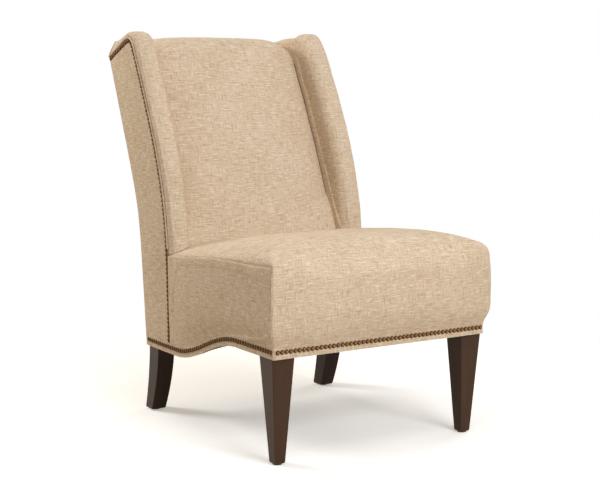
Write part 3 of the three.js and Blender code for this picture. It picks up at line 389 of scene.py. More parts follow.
def grid_faces(rows, columns, start=0, flip=False):
    corners = [start + r * columns + c for r in range(rows - 1) for c in range(columns - 1)]
    faces = [(a, a + 1, a + columns + 1, a + columns) for a in corners]
    return [face[::-1] for face in faces] if flip else faces


def border(rows, columns):
    """The indices round a grid, in order."""
    index = np.arange(rows * columns).reshape(rows, columns)
    around = [index[0], index[1:, -1], index[-1, -2::-1], index[-2:0:-1, 0]]
    return np.concatenate(around).tolist()


def band_faces(first, second):
    """Faces between two closed loops of as many points."""
    return list(zip(first, first[1:] + first[:1], second[1:] + second[:1], second))


def stacked_rings(start, count, sides):
    """Rings of points that follow one another, and the faces between them."""
    rings = [list(range(start + r * sides, start + (r + 1) * sides)) for r in range(count)]
    return rings, [face for pair in zip(rings, rings[1:]) for face in band_faces(*pair)]


def body(name, outer, inner, hem=0.0):
    """A closed body between two grids; hem rounds the edge of a thin cloth by that much."""
    rows, columns = outer.shape[:2]
    size = rows * columns
    points = [outer.reshape(-1, 3), inner.reshape(-1, 3)]
    faces = grid_faces(rows, columns) + grid_faces(rows, columns, size, True)
    ring = border(rows, columns)
    loops = [ring, [i + size for i in ring]]
    if hem:
        face_edge, back_edge = (flat[ring] for flat in points)
        along = np.roll(face_edge, 1, axis=0) - np.roll(face_edge, -1, axis=0)
        out = unit(np.cross(along, back_edge - face_edge))
        if np.sum(out * (face_edge - points[0].mean(axis=0))) < 0:
            out = -out
        points.append((face_edge + back_edge) / 2 + out * hem)
        loops.insert(1, [2 * size + k for k in range(len(ring))])
    for pair in zip(loops, loops[1:]):
        faces += band_faces(*pair)
    return mesh_object(name, np.concatenate(points), faces)


def finish_piece(obj, material, nodes):
    obj.data.materials.append(material)
    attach(obj, "root")
    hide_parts(*nodes)
    return obj


def upholstered(obj, *nodes):
    finish_piece(obj, fabric, nodes)


def puffed(grid, held, cap):
    """Swells cloth in a short simulation, held where held is 1, moving no point past cap."""
    obj = add_mesh("swell", to_metres(grid), grid_faces(*grid.shape[:2]))
    mesh = obj.data
    group = obj.vertex_groups.new(name="held")
    for i, weight in enumerate(held.reshape(-1)):
        group.add([i], float(weight), "REPLACE")
    cloth = obj.modifiers.new("cloth", "CLOTH")
    for key, value in STRETCHY.items():
        setattr(cloth.settings, key, value)
    cloth.settings.vertex_group_mass = "held"
    cloth.settings.effector_weights.gravity = 0
    cloth.point_cache.frame_end = SWELL_FRAMES
    scene = bpy.context.scene
    for step in range(1, SWELL_FRAMES + 1):
        scene.frame_set(step)
    evaluated = obj.evaluated_get(bpy.context.evaluated_depsgraph_get())
    moved = np.array([v.co for v in evaluated.data.vertices], float) - to_metres(grid)
    bpy.data.objects.remove(obj)
    bpy.data.meshes.remove(mesh)
    scene.frame_set(1)
    shift = moved.reshape(grid.shape) * 1000
    length = np.linalg.norm(shift, axis=2, keepdims=True)
    return grid + shift * np.minimum(1, cap / np.maximum(length, 1e-9))


def held_near(grid, *sides, margin):
    """1 on the named borders, or on all four, falling to 0 at a margin from them."""
    return 1 - smooth(to_border(grid, *sides) / margin)


# Materials

class Nodes:
    """A material's or world's node tree, with short calls that add and link its nodes."""

    def __init__(self, name, world=False):
        self.owner = (bpy.data.worlds if world else bpy.data.materials).new(name)
        self.owner.use_nodes = True
        self.tree = self.owner.node_tree
        self.tree.nodes.clear()
        self.output = self.add("ShaderNodeOutputWorld" if world else "ShaderNodeOutputMaterial")

    def add(self, kind, inputs=None, **settings):
        node = self.tree.nodes.new(kind)
        for key, value in settings.items():
            setattr(node, key, value)
        for key, value in (inputs or {}).items():
            self.join(value, node.inputs[key])
        return node

    def join(self, value, socket):
        if isinstance(value, bpy.types.NodeSocket):
            self.tree.links.new(value, socket)
        else:
            socket.default_value = value

    def finish(self, shader):
        self.join(shader.outputs[0], self.output.inputs[0])
        return self.owner

    def math(self, operation, *values):
        node = self.add("ShaderNodeMath", dict(enumerate(values)), operation=operation)
        return node.outputs[0]

    def plus(self, *values):
        return self.math("ADD", *values)

    def times(self, *values):
        return self.math("MULTIPLY", *values)

    def scaled(self, value, factor, shift):
        return self.math("MULTIPLY_ADD", value, factor, shift)

    def wave(self, value, count):
        return self.math("SINE", self.times(value, count))

    def vector(self, x, y, z):
        return self.add("ShaderNodeCombineXYZ", {0: x, 1: y, 2: z}).outputs[0]

    def split(self, socket):
        return self.add("ShaderNodeSeparateXYZ", {0: socket}).outputs

    def stretched(self, parts, counts):
        return self.vector(*[self.times(part, count) for part, count in zip(parts, counts)])

    def place(self):
        return self.add("ShaderNodeTexCoord").outputs["Object"]

    def facing(self):
        """How far the surface faces along each axis, either way."""
        normal = self.add("ShaderNodeNewGeometry").outputs["Normal"]
        return [self.math("ABSOLUTE", part) for part in self.split(normal)]

    def seen(self):
        """1 for what the camera sees, straight, mirrored or through glass."""
        rays = self.add("ShaderNodeLightPath").outputs
        clear = self.math("MAXIMUM", rays["Is Glossy Ray"], rays["Is Transmission Ray"])
        return self.math("MAXIMUM", rays["Is Camera Ray"], clear)

    def noise(self, vector, scale=1.0, detail=2.0, rough=0.5, distortion=0.0):
        node = self.add("ShaderNodeTexNoise", {"Vector": vector, "Scale": scale, "Detail": detail})
        node.inputs["Roughness"].default_value = rough
        node.inputs["Distortion"].default_value = distortion
        return node.outputs["Fac"]

    def step(self, value, low, high, to_low=0.0, to_high=1.0):
        inputs = {0: value, 1: low, 2: high, 3: to_low, 4: to_high}
        return self.add("ShaderNodeMapRange", inputs, interpolation_type="SMOOTHSTEP").outputs[0]

    def blend(self, factor, first, second):
        inputs = {0: factor, 6: first, 7: second}
        return self.add("ShaderNodeMix", inputs, data_type="RGBA").outputs[2]

    def bump(self, height, distance, strength=1.0):
        inputs = {"Height": height, "Distance": distance, "Strength": strength}
        return self.add("ShaderNodeBump", inputs).outputs[0]

    def surface(self, colour, roughness, normal, **plain):
        inputs = {key.replace("_", " "): value for key, value in plain.items()}
        inputs.update({"Base Color": colour, "Roughness": roughness, "Normal": normal})
        return self.finish(self.add("ShaderNodeBsdfPrincipled", inputs))


def linear(*screen):
    """A colour as a shader takes it, from its three values on a screen."""
    share = np.array(screen) / 255
    curved = ((share + 0.055) / 1.055) ** 2.4
    return (*np.where(share <= 0.04045, share / 12.92, curved), 1)


def woven_plane(n):
    """Two coordinates in the cloth's own plane, taken from whichever way the surface faces."""
    x, y, z = n.split(n.place())
    nx, ny, nz = n.facing()
    ragged = n.scaled(n.noise(n.place(), 260, 0), 0.16, -0.08)
    sideways = n.math("GREATER_THAN", n.plus(nx, ragged), n.math("MAXIMUM", ny, nz))
    upwards = n.math("GREATER_THAN", n.plus(nz, ragged), n.math("MAXIMUM", nx, ny))

    def chosen(share, first, second):
        return n.plus(n.times(share, first), n.times(n.math("SUBTRACT", 1, share), second))

    layer = n.plus(n.times(sideways, 3.1), n.times(upwards, 7.3))
    return chosen(sideways, y, x), chosen(upwards, y, z), layer


def upholstery():
    """Slubby linen-look cloth: a fine plain weave, cream slubs both ways and darker flecks."""
    n = Nodes("upholstery")
    across, along, layer = woven_plane(n)
    wobble = n.scaled(n.noise(n.vector(across, along, layer), 55, 1), 0.004, -0.002)
    across, along = n.plus(across, wobble), n.plus(along, wobble)
    spot = n.vector(across, along, layer)
    crossed_spot = n.vector(along, across, layer)

    def threads(count_across, count_along, seed):
        stretched = n.times(across, count_across), n.times(along, count_along)
        return n.noise(n.vector(*stretched, n.plus(layer, seed)), 1, 1)

    weft = threads(40, 360, 0)
    warp = threads(360, 38, 20)
    fine = n.plus(threads(170, 720, 40), threads(720, 170, 60))
    weft_slub = n.step(weft, 0.56, 0.7)
    warp_slub = n.step(warp, 0.58, 0.72)
    weft_dark = n.step(weft, 0.43, 0.32)
    warp_dark = n.step(warp, 0.42, 0.31)
    flecks = n.step(n.noise(spot, 290, 1), 0.66, 0.74)
    dots = n.step(n.noise(crossed_spot, 270, 1), 0.67, 0.75)

    broad = n.step(n.noise(spot, 9, 2), 0.35, 0.65)
    colour = n.blend(broad, linear(212, 192, 167), linear(218, 199, 176))
    shaded = n.blend(0.5, colour, linear(198, 173, 142))
    colour = n.blend(n.step(fine, 0.8, 1.2), shaded, colour)
    for shown, share, tone in (
        (weft_dark, 0.55, (180, 151, 118)),
        (warp_dark, 0.5, (182, 153, 120)),
        (weft_slub, 0.68, (236, 221, 200)),
        (warp_slub, 0.55, (234, 218, 196)),
        (flecks, 0.7, (156, 127, 96)),
        (dots, 0.7, (242, 229, 208)),
    ):
        colour = n.blend(n.times(shown, share), colour, linear(*tone))

    height = n.plus(n.times(weft_slub, 0.8), n.times(warp_slub, 0.7))
    height = n.math("SUBTRACT", height, n.times(n.plus(weft_dark, warp_dark), 0.35))
    waves = n.times(n.wave(across, 2850), n.wave(along, 2850))
    height = n.plus(n.plus(height, n.times(waves, 0.12)), n.times(fine, 0.5))
    sheen = {"Sheen_Weight": 0.03, "Sheen_Roughness": 0.5, "Specular_IOR_Level": 0.15}
    return n.surface(colour, 0.92, n.bump(height, 0.0006, 0.55), **sheen)


def espresso_wood():
    """Dark stained wood with a fine upright grain and a satin coat, a little worn on the edges."""
    n = Nodes("espresso_wood")
    place = n.split(n.place())
    rings = n.noise(n.stretched(place, (60, 60, 3.2)), 1.4, 4, 0.6, 0.6)
    pores = n.noise(n.stretched(place, (900, 900, 26)), 1, 2)
    colour = n.blend(n.step(rings, 0.35, 0.68), linear(27, 16, 10), linear(45, 28, 18))
    colour = n.blend(n.times(n.step(pores, 0.42, 0.3), 0.6), colour, linear(22, 13, 9))
    wear = n.add("ShaderNodeNewGeometry").outputs["Pointiness"]
    colour = n.blend(n.times(n.step(wear, 0.53, 0.62), 0.35), colour, linear(108, 78, 57))
    normal = n.bump(n.math("SUBTRACT", rings, n.times(pores, 0.4)), 0.0004, 0.3)
    coat = {"Specular_IOR_Level": 0.12, "Coat_Weight": 0.04, "Coat_Roughness": 0.25}
    return n.surface(colour, n.scaled(rings, 0.16, 0.3), normal, **coat)


def raw_wood(name, light, dark, axis, ply=False):
    """Planed, unfinished wood with its grain along one axis, or plywood with its layers."""
    n = Nodes(name)
    place = n.split(n.place())
    counts = [5 if i == axis else 110 for i in range(3)]
    grain = n.noise(n.stretched(place, counts), 1, 4, 0.6, 0.5)
    colour = n.blend(n.step(grain, 0.33, 0.68), dark, light)
    if ply:
        layers = n.step(n.wave(place[0], 3800), -0.2, 0.2)
        shown = n.times(layers, n.step(n.facing()[0], 0.6, 0.4))
        colour = n.blend(n.times(shown, 0.6), colour, linear(140, 103, 64))
    return n.surface(colour, n.scaled(grain, 0.15, 0.6), n.bump(grain, 0.0005, 0.35))


def plain_steel():
    """Drawn steel with a mottled surface and brighter worn places."""
    n = Nodes("steel")
    mottle = n.noise(n.place(), 240, 3, 0.6)
    patches = n.step(n.noise(n.place(), 42, 2), 0.5, 0.3)
    colour = n.blend(n.step(mottle, 0.5, 0.72), linear(128, 130, 132), linear(170, 170, 170))
    colour = n.blend(n.times(patches, 0.4), colour, linear(46, 34, 22))
    rough = n.scaled(mottle, 0.2, 0.26)
    return n.surface(colour, rough, n.bump(mottle, 0.0002, 0.3), Metallic=0.9)


def nail_bronze():
    """Aged bronze domes: dark towards their rims as patina, and lighter on their crowns partly as
    rubbed wear and partly as a painted highlight, painted at half strength on the side rows as
    painted shade.
    """
    n = Nodes("bronze")
    mottle = n.noise(n.place(), 240, 3, 0.6)
    nx, ny, _ = n.facing()
    # Painted highlight on the crowns: full on the front row and half on the side rows, as painted
    # shade where less light falls; the mottle adds rubbed wear.
    crown = n.math("MAXIMUM", n.step(nx, 0.8, 0.99, 0.0, 0.5), n.step(ny, 0.8, 0.99))
    rubbed_and_highlight = n.times(crown, n.step(mottle, 0.25, 0.6, 0.55, 1.0))
    colour = n.blend(rubbed_and_highlight, linear(86, 59, 33), linear(150, 113, 70))
    dull = {"Metallic": 0.2, "Specular_IOR_Level": 0.15, "Specular_Tint": (0.45, 0.3, 0.16, 1)}
    return n.surface(colour, n.scaled(mottle, 0.2, 0.3), n.bump(mottle, 0.0002, 0.3), **dull)


def cloth(name, light, dark, thread):
    """A plain woven or needled cloth, for what is hidden under the chair and in the seat."""
    n = Nodes(name)
    x, y, z = n.split(n.place())
    count = 2 * math.pi / thread
    weave = n.times(n.wave(x, count), n.wave(n.plus(y, z), count))
    mixed = n.plus(n.times(weave, 0.25), n.noise(n.place(), 700, 3, 0.7))
    colour = n.blend(n.step(mixed, 0.3, 0.8), dark, light)
    return n.surface(colour, 0.9, n.bump(mixed, 0.0004, 0.6), Specular_IOR_Level=0.2)


def nylon():
    n = Nodes("nylon")
    speckle = n.noise(n.place(), 900, 2)
    colour = n.blend(n.step(speckle, 0.3, 0.7), linear(34, 34, 34), linear(50, 49, 47))
    return n.surface(colour, n.scaled(speckle, 0.2, 0.4), n.bump(speckle, 0.0001, 0.4))


fabric = upholstery()
bronze = nail_bronze()
strapping = cloth("strapping", linear(58, 55, 52), linear(28, 27, 26), 0.0024)
needled = cloth("needled_pad", linear(206, 180, 136), linear(152, 124, 82), 0.006)
dust_cloth = cloth("dust_cloth", linear(46, 46, 47), linear(22, 22, 23), 0.0018)

SLOT_MATERIALS = {
    "leg_wood": espresso_wood(),
    "frame_wood": raw_wood("rail_wood", linear(216, 186, 142), linear(180, 144, 100), 0),
    "frame_plywood": raw_wood("plywood", linear(224, 198, 156), linear(194, 160, 116), 2, ply=True),
    "steel": plain_steel(),
    "glide_nylon": nylon(),
}
for part in frame["record"]["subparts"]:
    slot = part["material_slot"]
    if slot in SLOT_MATERIALS:
        node = frame["nodes"][part["node"]]
        node.data.materials.clear()
        node.data.materials.append(SLOT_MATERIALS[slot])
        if slot == "leg_wood":
            bevel = node.modifiers.new("soft_edges", "BEVEL")
            bevel.width = 0.0008
            bevel.segments = 2
            bevel.limit_method = "ANGLE"
            bevel.angle_limit = math.radians(28)


# Seat: one padded body whose cloth runs from under the back over the front to the base

def deck_at(depth):
    return DECK_HEIGHT + SPRING_CROWN * np.sin(math.pi * np.clip(depth / SPRING_SPAN, 0, 1))


def side_taper(depth):
    start = TAPER_START * SEAT_SIDE_END
    return mix(1, TAPER_END, smooth((depth - start) / (SEAT_SIDE_END - start)))


def seat_edge(depth):
    """Half the width between the seams of the seat."""
    return HALF_WIDTH + SIDE_BULGE * SEAM_SHARE * side_taper(depth)


def seat_top(x, depth):
    """The height of the seat's top, squarer at its front than behind."""
    share = np.minimum(np.abs(x) / seat_edge(depth), 1)
    square = SQUARE_SHARE * (1 - smooth(2 * depth / SEAT_SIDE_END))
    round_power, square_power = CROWN_POWERS
    across = 1 - mix(share ** round_power, share ** square_power, square)
    along = np.clip(depth / (BACK_DEPTH - BACK_CROWN), 0, 1)
    crown = soft_table(CROWN_SHARES, along).reshape(np.shape(depth))
    return mix(seam_edge(depth), seat_seam(depth) + SEAT_CROWN * crown, across)


def inside_back_front(x):
    return BACK_DEPTH - BACK_CROWN * (1 - (np.abs(x) / BACK_EDGE) ** 3)


def row_heights(depth, top):
    """Heights of the rows between the base edge and the top's edge."""
    low = base_edge(depth)
    band = low + NAIL_BAND
    deck = deck_at(depth)
    return [low, band, mix(band, deck, BAND_SHARE), deck, mix(deck, top, 0.4), mix(deck, top, 0.74)]


def seat_skin(columns):
    """The cloth of the seat: rows climb the front and run rearwards, columns go across."""
    across = np.linspace(-1, 1, columns)
    across = np.sign(across) * np.abs(across) ** COLUMN_POWER
    x_end = across * seat_edge(SEAT_SIDE_END)
    centre = row_heights(0, SEAM_HEIGHT + SEAT_CROWN * FRONT_SHARES[0])
    edge = row_heights(0, seam_edge(0))
    weight, top_weight = (1 - np.abs(across) ** power for power in FRONT_POWERS)
    rows = []
    for bulge, low, high in zip(BULGES, edge, centre):
        x = (HALF_WIDTH + SIDE_BULGE * bulge) * across
        depth = mix(-CORNER_BULGE * bulge, -FRONT_BULGE * bulge, weight)
        rows.append(np.stack([x, depth, mix(low, high, weight)], axis=1))
    start = FRONT_BULGE * FRONT_SHARES[1] * top_weight
    inside = 1 - smooth((np.abs(x_end) - BACK_EDGE) / 6)
    rear = inside_back_front(np.minimum(np.abs(x_end), BACK_EDGE)) - 2 * GAP
    end = mix(SEAT_SIDE_END, rear, inside)
    for along in TOP_ROWS:
        x = across * seat_edge(along * SEAT_SIDE_END)
        depth = mix(start, end, along)
        rows.append(np.stack([x, depth, seat_top(x, depth)], axis=1))
    return np.array(rows)


def groove(grid, distances, depth, width, normals):
    """Sinks the cloth along a line, by depth at the line and within about width of it."""
    fall = np.exp(-(distances / width) ** 2)[..., None]
    return grid - normals * depth * fall


def base_dip(grid, depth, normals):
    """Sinks the cloth under the row of nails along the base."""
    line = np.abs(grid[..., 2] - base_edge(grid[..., 1]) - NAIL_RISE)
    return groove(grid, line, depth, NAIL_DIP, normals)


def ripples(grid, normals, away=1.0, *, size, height, seed):
    """Slow unevenness of stuffed cloth where away is 1, from waves of random direction."""
    found = np.zeros(grid.shape[:2])
    source = np.random.default_rng(seed)
    for _ in range(7):
        direction = source.normal(size=3)
        direction *= 2 * math.pi / (size * source.uniform(0.7, 1.6) * np.linalg.norm(direction))
        found += np.sin(grid @ direction + source.uniform(0, 2 * math.pi))
    return grid + normals * (height * found / 3 * away)[..., None]


def make_seat():
    skin = refine(seat_skin(72), count=84)[0]
    low = skin[..., 2] < base_edge(0) + NAIL_BAND + 3
    skin = puffed(skin, np.maximum(held_near(skin, margin=45), low), cap=5)
    skin = refine_both(skin, rows=150, columns=150, column_seams=(0, 1))[0]
    normal = outwards(skin, (0, 250, 380))
    front = [np.interp(DECK_HEIGHT, line[:, 2], line[:, 1]) for line in turned(skin[:60])]
    sides = to_border(skin, "left", "right")
    skin = ripples(skin, normal, size=120, height=0.5, seed=3)
    skin = groove(skin, sides, SEAM_DEPTH, SEAM_WIDTH, normal)
    skin = base_dip(skin, 0.7, normal)
    deck = deck_at(skin[..., 1])
    behind = np.maximum(skin[..., 1], np.array(front) + PAD_INSET)
    pad = np.stack([skin[..., 0] * 0.985, behind, deck], axis=2)
    inner = np.where((skin[..., 2] < deck)[..., None], skin - normal * COVER, pad)
    seat = body("seat_cushion", skin, inner)
    upholstered(seat, "seat_cover", "seat_foam")


def to_wing(depths, heights):
    """Depths stretched so that the last one meets the leaning front of the wing."""
    lean = wing_front(heights[-1]) - WING_LINE[0]
    return depths * (1 + lean / SEAT_SIDE_END)


def panel_skin(side):
    """The panel on the side of the seat: rows climb, columns run rearwards."""
    depths = np.linspace(0, SEAT_SIDE_END, 90)
    fade = np.clip(1 - depths / (5 * CORNER_BULGE), 0, 1)
    seam = seam_edge(depths)
    heights = row_heights(depths, seam)
    rows = []
    for bulge, height in zip(BULGES, heights):
        x = HALF_WIDTH + SIDE_BULGE * bulge * side_taper(depths)
        depth = to_wing(depths, height) - CORNER_BULGE * bulge * fade
        rows.append(np.stack([side * x, depth, height], axis=1))
    rows.append(np.stack([side * seat_edge(depths), to_wing(depths, heights[-1]), seam], axis=1))
    grid = refine(np.array(rows), count=64)[0]
    grid[-1, :, 2] -= 2 * GAP
    grid[:, 0, 1] += 2 * GAP
    return grid


def cloth_panel(name, grid, inner, node, rests_on, hem, size=None):
    """A hemmed cloth body between two grids, upholstered; its flat size, or else the two largest
    spans of its grid, and its area are worked out, but nothing uses them.
    """
    piece = body(name, grid, inner, hem)
    upholstered(piece, node)
    size = size or sorted(np.ptp(grid.reshape(-1, 3), axis=0) / 1000, reverse=True)[:2]
    area = min(area_of(grid), size[0] * size[1])
    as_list(rests_on)


def make_seat_panel(side, name):
    grid = panel_skin(side)
    grid = puffed(grid, held_near(grid, margin=30), cap=2)
    grid = refine_both(grid, rows=90, columns=130, row_seams=(1,), column_seams=(0,))[0]
    normal = outwards(grid, (0, 250, 350))
    grid = ripples(grid, normal, size=110, height=0.4, seed=5)
    grid = groove(grid, to_border(grid, "last", "left"), SEAM_DEPTH, SEAM_WIDTH, normal)
    grid = base_dip(grid, 0.6, normal)
    inner, rests_on = grid - normal * COVER, ["side_frame_" + name, "seat_cushion"]
    cloth_panel("seat_panel_" + name, grid, inner, "seat_side_cover_" + name, rests_on, 0.5)


# Inside back: one padded body between the wings

def bezier(points, count):
    """Points along a curve after its start, from three or four guiding points."""
    t = np.linspace(0, 1, count + 1)[1:, None]
    if len(points) == 3:
        a, b, c = points
        return (1 - t) ** 2 * a + 2 * t * (1 - t) * b + t * t * c
    a, b, c, d = points
    return (1 - t) ** 3 * a + 3 * t * (1 - t) ** 2 * b + 3 * t * t * (1 - t) * c + t ** 3 * d


def back_skin(columns):
    """The cloth of the inside back: rows climb and turn over the top, columns go across."""
    across = np.linspace(-1, 1, columns)
    x = across * BACK_EDGE
    shoulder = BACK_TOP - TOP_TURN
    rear = rear_face(BACK_REAR) - COVER - 3 * GAP
    start = np.array([inside_back(shoulder), shoulder])
    end = np.array([rear, BACK_REAR])

    def turn(start, lift, share):
        first = start + np.array([TOP_TURN * 0.2, TOP_TURN * lift])
        second = np.array([mix(start[0], rear, share), BACK_TOP + TOP_TURN * 0.32 * lift])
        return list(bezier([start, first, second, end], 6))

    crown = np.array([BACK_CROWN, 0])
    heights = mix(BACK_FOOT, shoulder, np.array(BACK_ROWS))
    edges = [np.array([inside_back(h), h]) for h in heights]
    centres = [edge - crown for edge in edges]
    edges += turn(start, lift=0.55, share=0.42)
    centres += turn(start - crown, lift=0.75, share=0.34)
    weight = 1 - np.abs(across) ** 3
    rows = [np.stack([x, inside_back_front(x), 0 * x + BACK_FOOT - TUCK_DROP], axis=1)]
    for edge, middle in zip(edges, centres):
        depth, height = (mix(edge[k], middle[k], weight) for k in (0, 1))
        rows.append(np.stack([x, depth, height], axis=1))
    return np.array(rows)


def webbing_plane(height):
    run = (TOP_RAIL[0] - LOWER_RAIL[0]) / (TOP_RAIL[1] - LOWER_RAIL[1])
    return LOWER_RAIL[0] + run * (height - LOWER_RAIL[1])


def make_back():
    skin = refine(back_skin(60), count=90)[0]
    skin = puffed(skin, held_near(skin, margin=50), cap=5)
    skin = refine_both(skin, rows=150, columns=120, column_seams=(0, 1))[0]
    normal = outwards(skin, (0, 800, 600))
    sides = to_border(skin, "left", "right")
    skin = ripples(skin, normal, smooth(sides / 60), size=130, height=0.7, seed=8)
    foot = mix(FOOT_SHARE, 1, smooth((skin[..., 2] - SEAM_HEIGHT - SEAT_CROWN) / FOOT_RISE))
    rearward = normal * (0, 1, 1) * foot[..., None]
    for depth, width in CREASES:
        skin = groove(skin, sides, depth, width, rearward)
    skin[..., 0] *= 1 + CREASE_SPREAD * np.exp(-(sides / CREASE_WIDTH) ** 2)
    below = skin[..., 2].max(axis=1) < RAIL_TOP
    last = int(np.flatnonzero(below)[-1]) + 1
    inner = skin - normal * COVER
    inner[..., 1:] = np.stack([webbing_plane(skin[..., 2]) - GAP, skin[..., 2]], axis=2)
    rear = rear_face(RAIL_TOP) - COVER - 4 * GAP
    over = np.linspace(webbing_plane(RAIL_TOP) - GAP, rear, len(skin) - last)
    inner[last:, :, 1] = over[:, None]
    inner[last:, :, 2] = RAIL_TOP + GAP
    back = body("back_cushion", skin, inner)
    upholstered(back, "inside_back_cover", "back_foam")


# Wings: padded rolls from the seat up, round the tip and back to the rear shoulder

def wing_path(start):
    """Depths and heights along a wing's front from a height, round its tip and along its top."""
    tip = np.array([wing_front(WING_TIP), WING_TIP])
    top = np.array([rear_face(SHOULDER) - CORNER_RADIUS, SHOULDER]) - tip
    heights = np.linspace(WING_START, WING_TIP - TIP_RADIUS, 13)
    if start < WING_START:
        low = max(math.ceil((WING_START - start) / 60), 1)
        heights = np.concatenate([np.linspace(start, WING_START, low + 1)[:-1], heights])
    front = np.stack([wing_front(heights), heights], axis=1)
    bend = bezier([front[-1], tip, tip + unit(top) * TIP_RADIUS], 5)
    back = mix(bend[-1], tip + top, np.linspace(0, 1, 6)[1:, None])
    return np.concatenate([front, bend, back])


def corners_of(points):
    """Outward directions of a flat path, longer at its bends so that offsets stay parallel."""
    steps = unit(np.diff(points, axis=0))
    sideways = np.stack([-steps[:, 1], steps[:, 0]], axis=1)
    before = np.concatenate([sideways[:1], sideways])
    after = np.concatenate([sideways, sideways[-1:]])
    return (before + after) / (1 + np.sum(before * after, axis=1, keepdims=True))


def wing_tuck(share):
    """Where the roll's cloth ends behind the inside back, at a share of the roll's length."""
    turn = BACK_TOP - TOP_TURN * 1.2
    if share < TURN_SHARE:
        height = mix(BACK_FOOT - TUCK, turn, share / TURN_SHARE)
        return np.array([inside_back(height) + TUCK, height])
    start = np.array([inside_back(turn) + TUCK, turn])
    end_height = BACK_REAR - 2 * TUCK
    end = np.array([rear_face(end_height) - COVER - 3 * GAP, end_height])
    bend = np.array([start[0] + TUCK, end[1]])
    t = (share - TURN_SHARE) / (1 - TURN_SHARE)
    return (1 - t) ** 2 * start + 2 * t * (1 - t) * bend + t * t * end


def rest_height(x, depth):
    return seat_top(x, np.minimum(depth, SEAT_SIDE_END)) + 4 * GAP


def ply_edge(height):
    climb = (height - WING_START - NAIL_RISE) / (SEAM_HEIGHT + NAIL_RISE - WING_START)
    return mix(COVER, LIP_REACH + GAP, smooth(climb))


def roll_place(spot, outward, across, out, share):
    """A point of the roll's section, whose outer half flattens to a slope along the top."""
    reach = ROLL_REACH * table_at(ROLL_SHARES, share)
    if across <= 0:
        return spot + outward * mix(ROLL_REACH * table_at(INNER_SHARES, share), reach, out)
    slope = np.clip((share - SLOPE_START) / (1 - SLOPE_START), 0, 1)
    return spot + outward * mix(LIP_REACH, reach, mix(out, 1 - across, slope))


def wing_grids():
    """The right wing's skin, and what its stuffing rests on, as grids of the same shape."""
    path = wing_path(WING_START)
    outward = corners_of(path)
    walked = walked_along(path)
    shares = walked / walked[-1]
    front = len(ROLL) - 4
    columns = len(ROLL) + 2
    skin, inner = [], []
    for row, share in enumerate(shares):
        section = []
        for across, out in ROLL:
            place = roll_place(path[row], outward[row], across, out, share)
            section.append([WING_MIDDLE + WING_THICKNESS / 2 * across, *place])
        lip = np.array(section[-1][1:])
        for part in (0.4, 1):
            section.append([WING_INNER, *mix(lip, wing_tuck(share), part)])
        section = np.array(section)
        if row == 0:
            section[:, 2] = rest_height(section[:, 0], section[:, 1])
        if row == len(path) - 1:
            limit = rear_face(section[:, 2]) - COVER - 3 * GAP - corner_inset(section[:, 0])
            section[:, 1] = np.minimum(section[:, 1], limit)
        skin.append(section)

        edge = ply_edge(path[row][1]) + GAP
        base = []
        for c in range(columns):
            x = max(mix(PLY_OUTER - COVER, PLY_INNER - GAP, c / front), PLY_INNER - GAP)
            depth, height = path[row] + outward[row] * edge
            if c > front:
                share_in = (c - front) / (columns - 1 - front)
                depth, height = mix(np.array([depth, height]), section[-1][1:], share_in)
            if row == 0:
                height = rest_height(x, depth)
                depth = wing_front(height) - edge if c <= front else depth
            base.append([x, depth, height])
        inner.append(base)
    return np.array(skin), np.array(inner, float)


def make_wing(side, name):
    skin, inner = wing_grids()
    skin, inner = refine_both(skin, inner, rows=100, columns=46)
    lip = held_near(skin, "left", margin=14)
    held = np.maximum(lip, held_near(skin, "first", "last", "right", margin=30))
    skin = puffed(skin, held, cap=2.5)
    skin, inner = refine_both(skin, inner, rows=190, columns=74)
    normal = outwards(skin, (WING_MIDDLE, 620, 650))
    away = smooth(edge_distance(skin, "left") / 25) * smooth(edge_distance(skin, "first") / 25)
    skin = ripples(skin, normal, away, size=90, height=0.5, seed=21)
    for grid in (skin, inner):
        grid[..., 0] *= side
    wing = body("wing_roll_" + name, skin, inner)
    upholstered(wing, "wing_cover_" + name, "wing_foam_" + name)


def along_path(points, count):
    """Points at even spacing along a flat path."""
    walked = walked_along(points)
    at = np.linspace(0, walked[-1], count)
    return np.stack([np.interp(at, walked, points[:, k]) for k in (0, 1)], axis=1)


def tube(name, centres, up, radius):
    steps = unit(np.gradient(centres, axis=0))
    across = unit(np.cross(steps, up))
    above = np.cross(across, steps)
    turns = (2 * math.pi * np.arange(WELT_SIDES) / WELT_SIDES)[None, :, None]
    around = np.cos(turns) * across[:, None] + np.sin(turns) * above[:, None]
    rings, faces = stacked_rings(0, len(centres), WELT_SIDES)
    faces += [rings[0][::-1], rings[-1]]
    return mesh_object(name, centres[:, None] + around * radius[:, None, None], faces)


def make_welt(side, name):
    path = wing_path(WING_START)
    offset = along_path(path + corners_of(path) * WELT_REACH, WELT_POINTS)
    x = np.full(WELT_POINTS, side * (PLY_OUTER + WELT_LIFT + WELT_DIAMETER / 2))
    knots = np.arange(0, WELT_POINTS + 1, 10)
    uneven = np.random.default_rng(31).normal(0, 0.05, len(knots))
    radius = WELT_DIAMETER / 2 + WELT_SWELL + np.interp(np.arange(WELT_POINTS), knots, uneven)
    welt = tube("wing_piping_" + name, np.column_stack([x, offset]), (1, 0, 0), radius)
    upholstered(welt, "wing_welt_" + name)


# Outside wing panels and the outside back

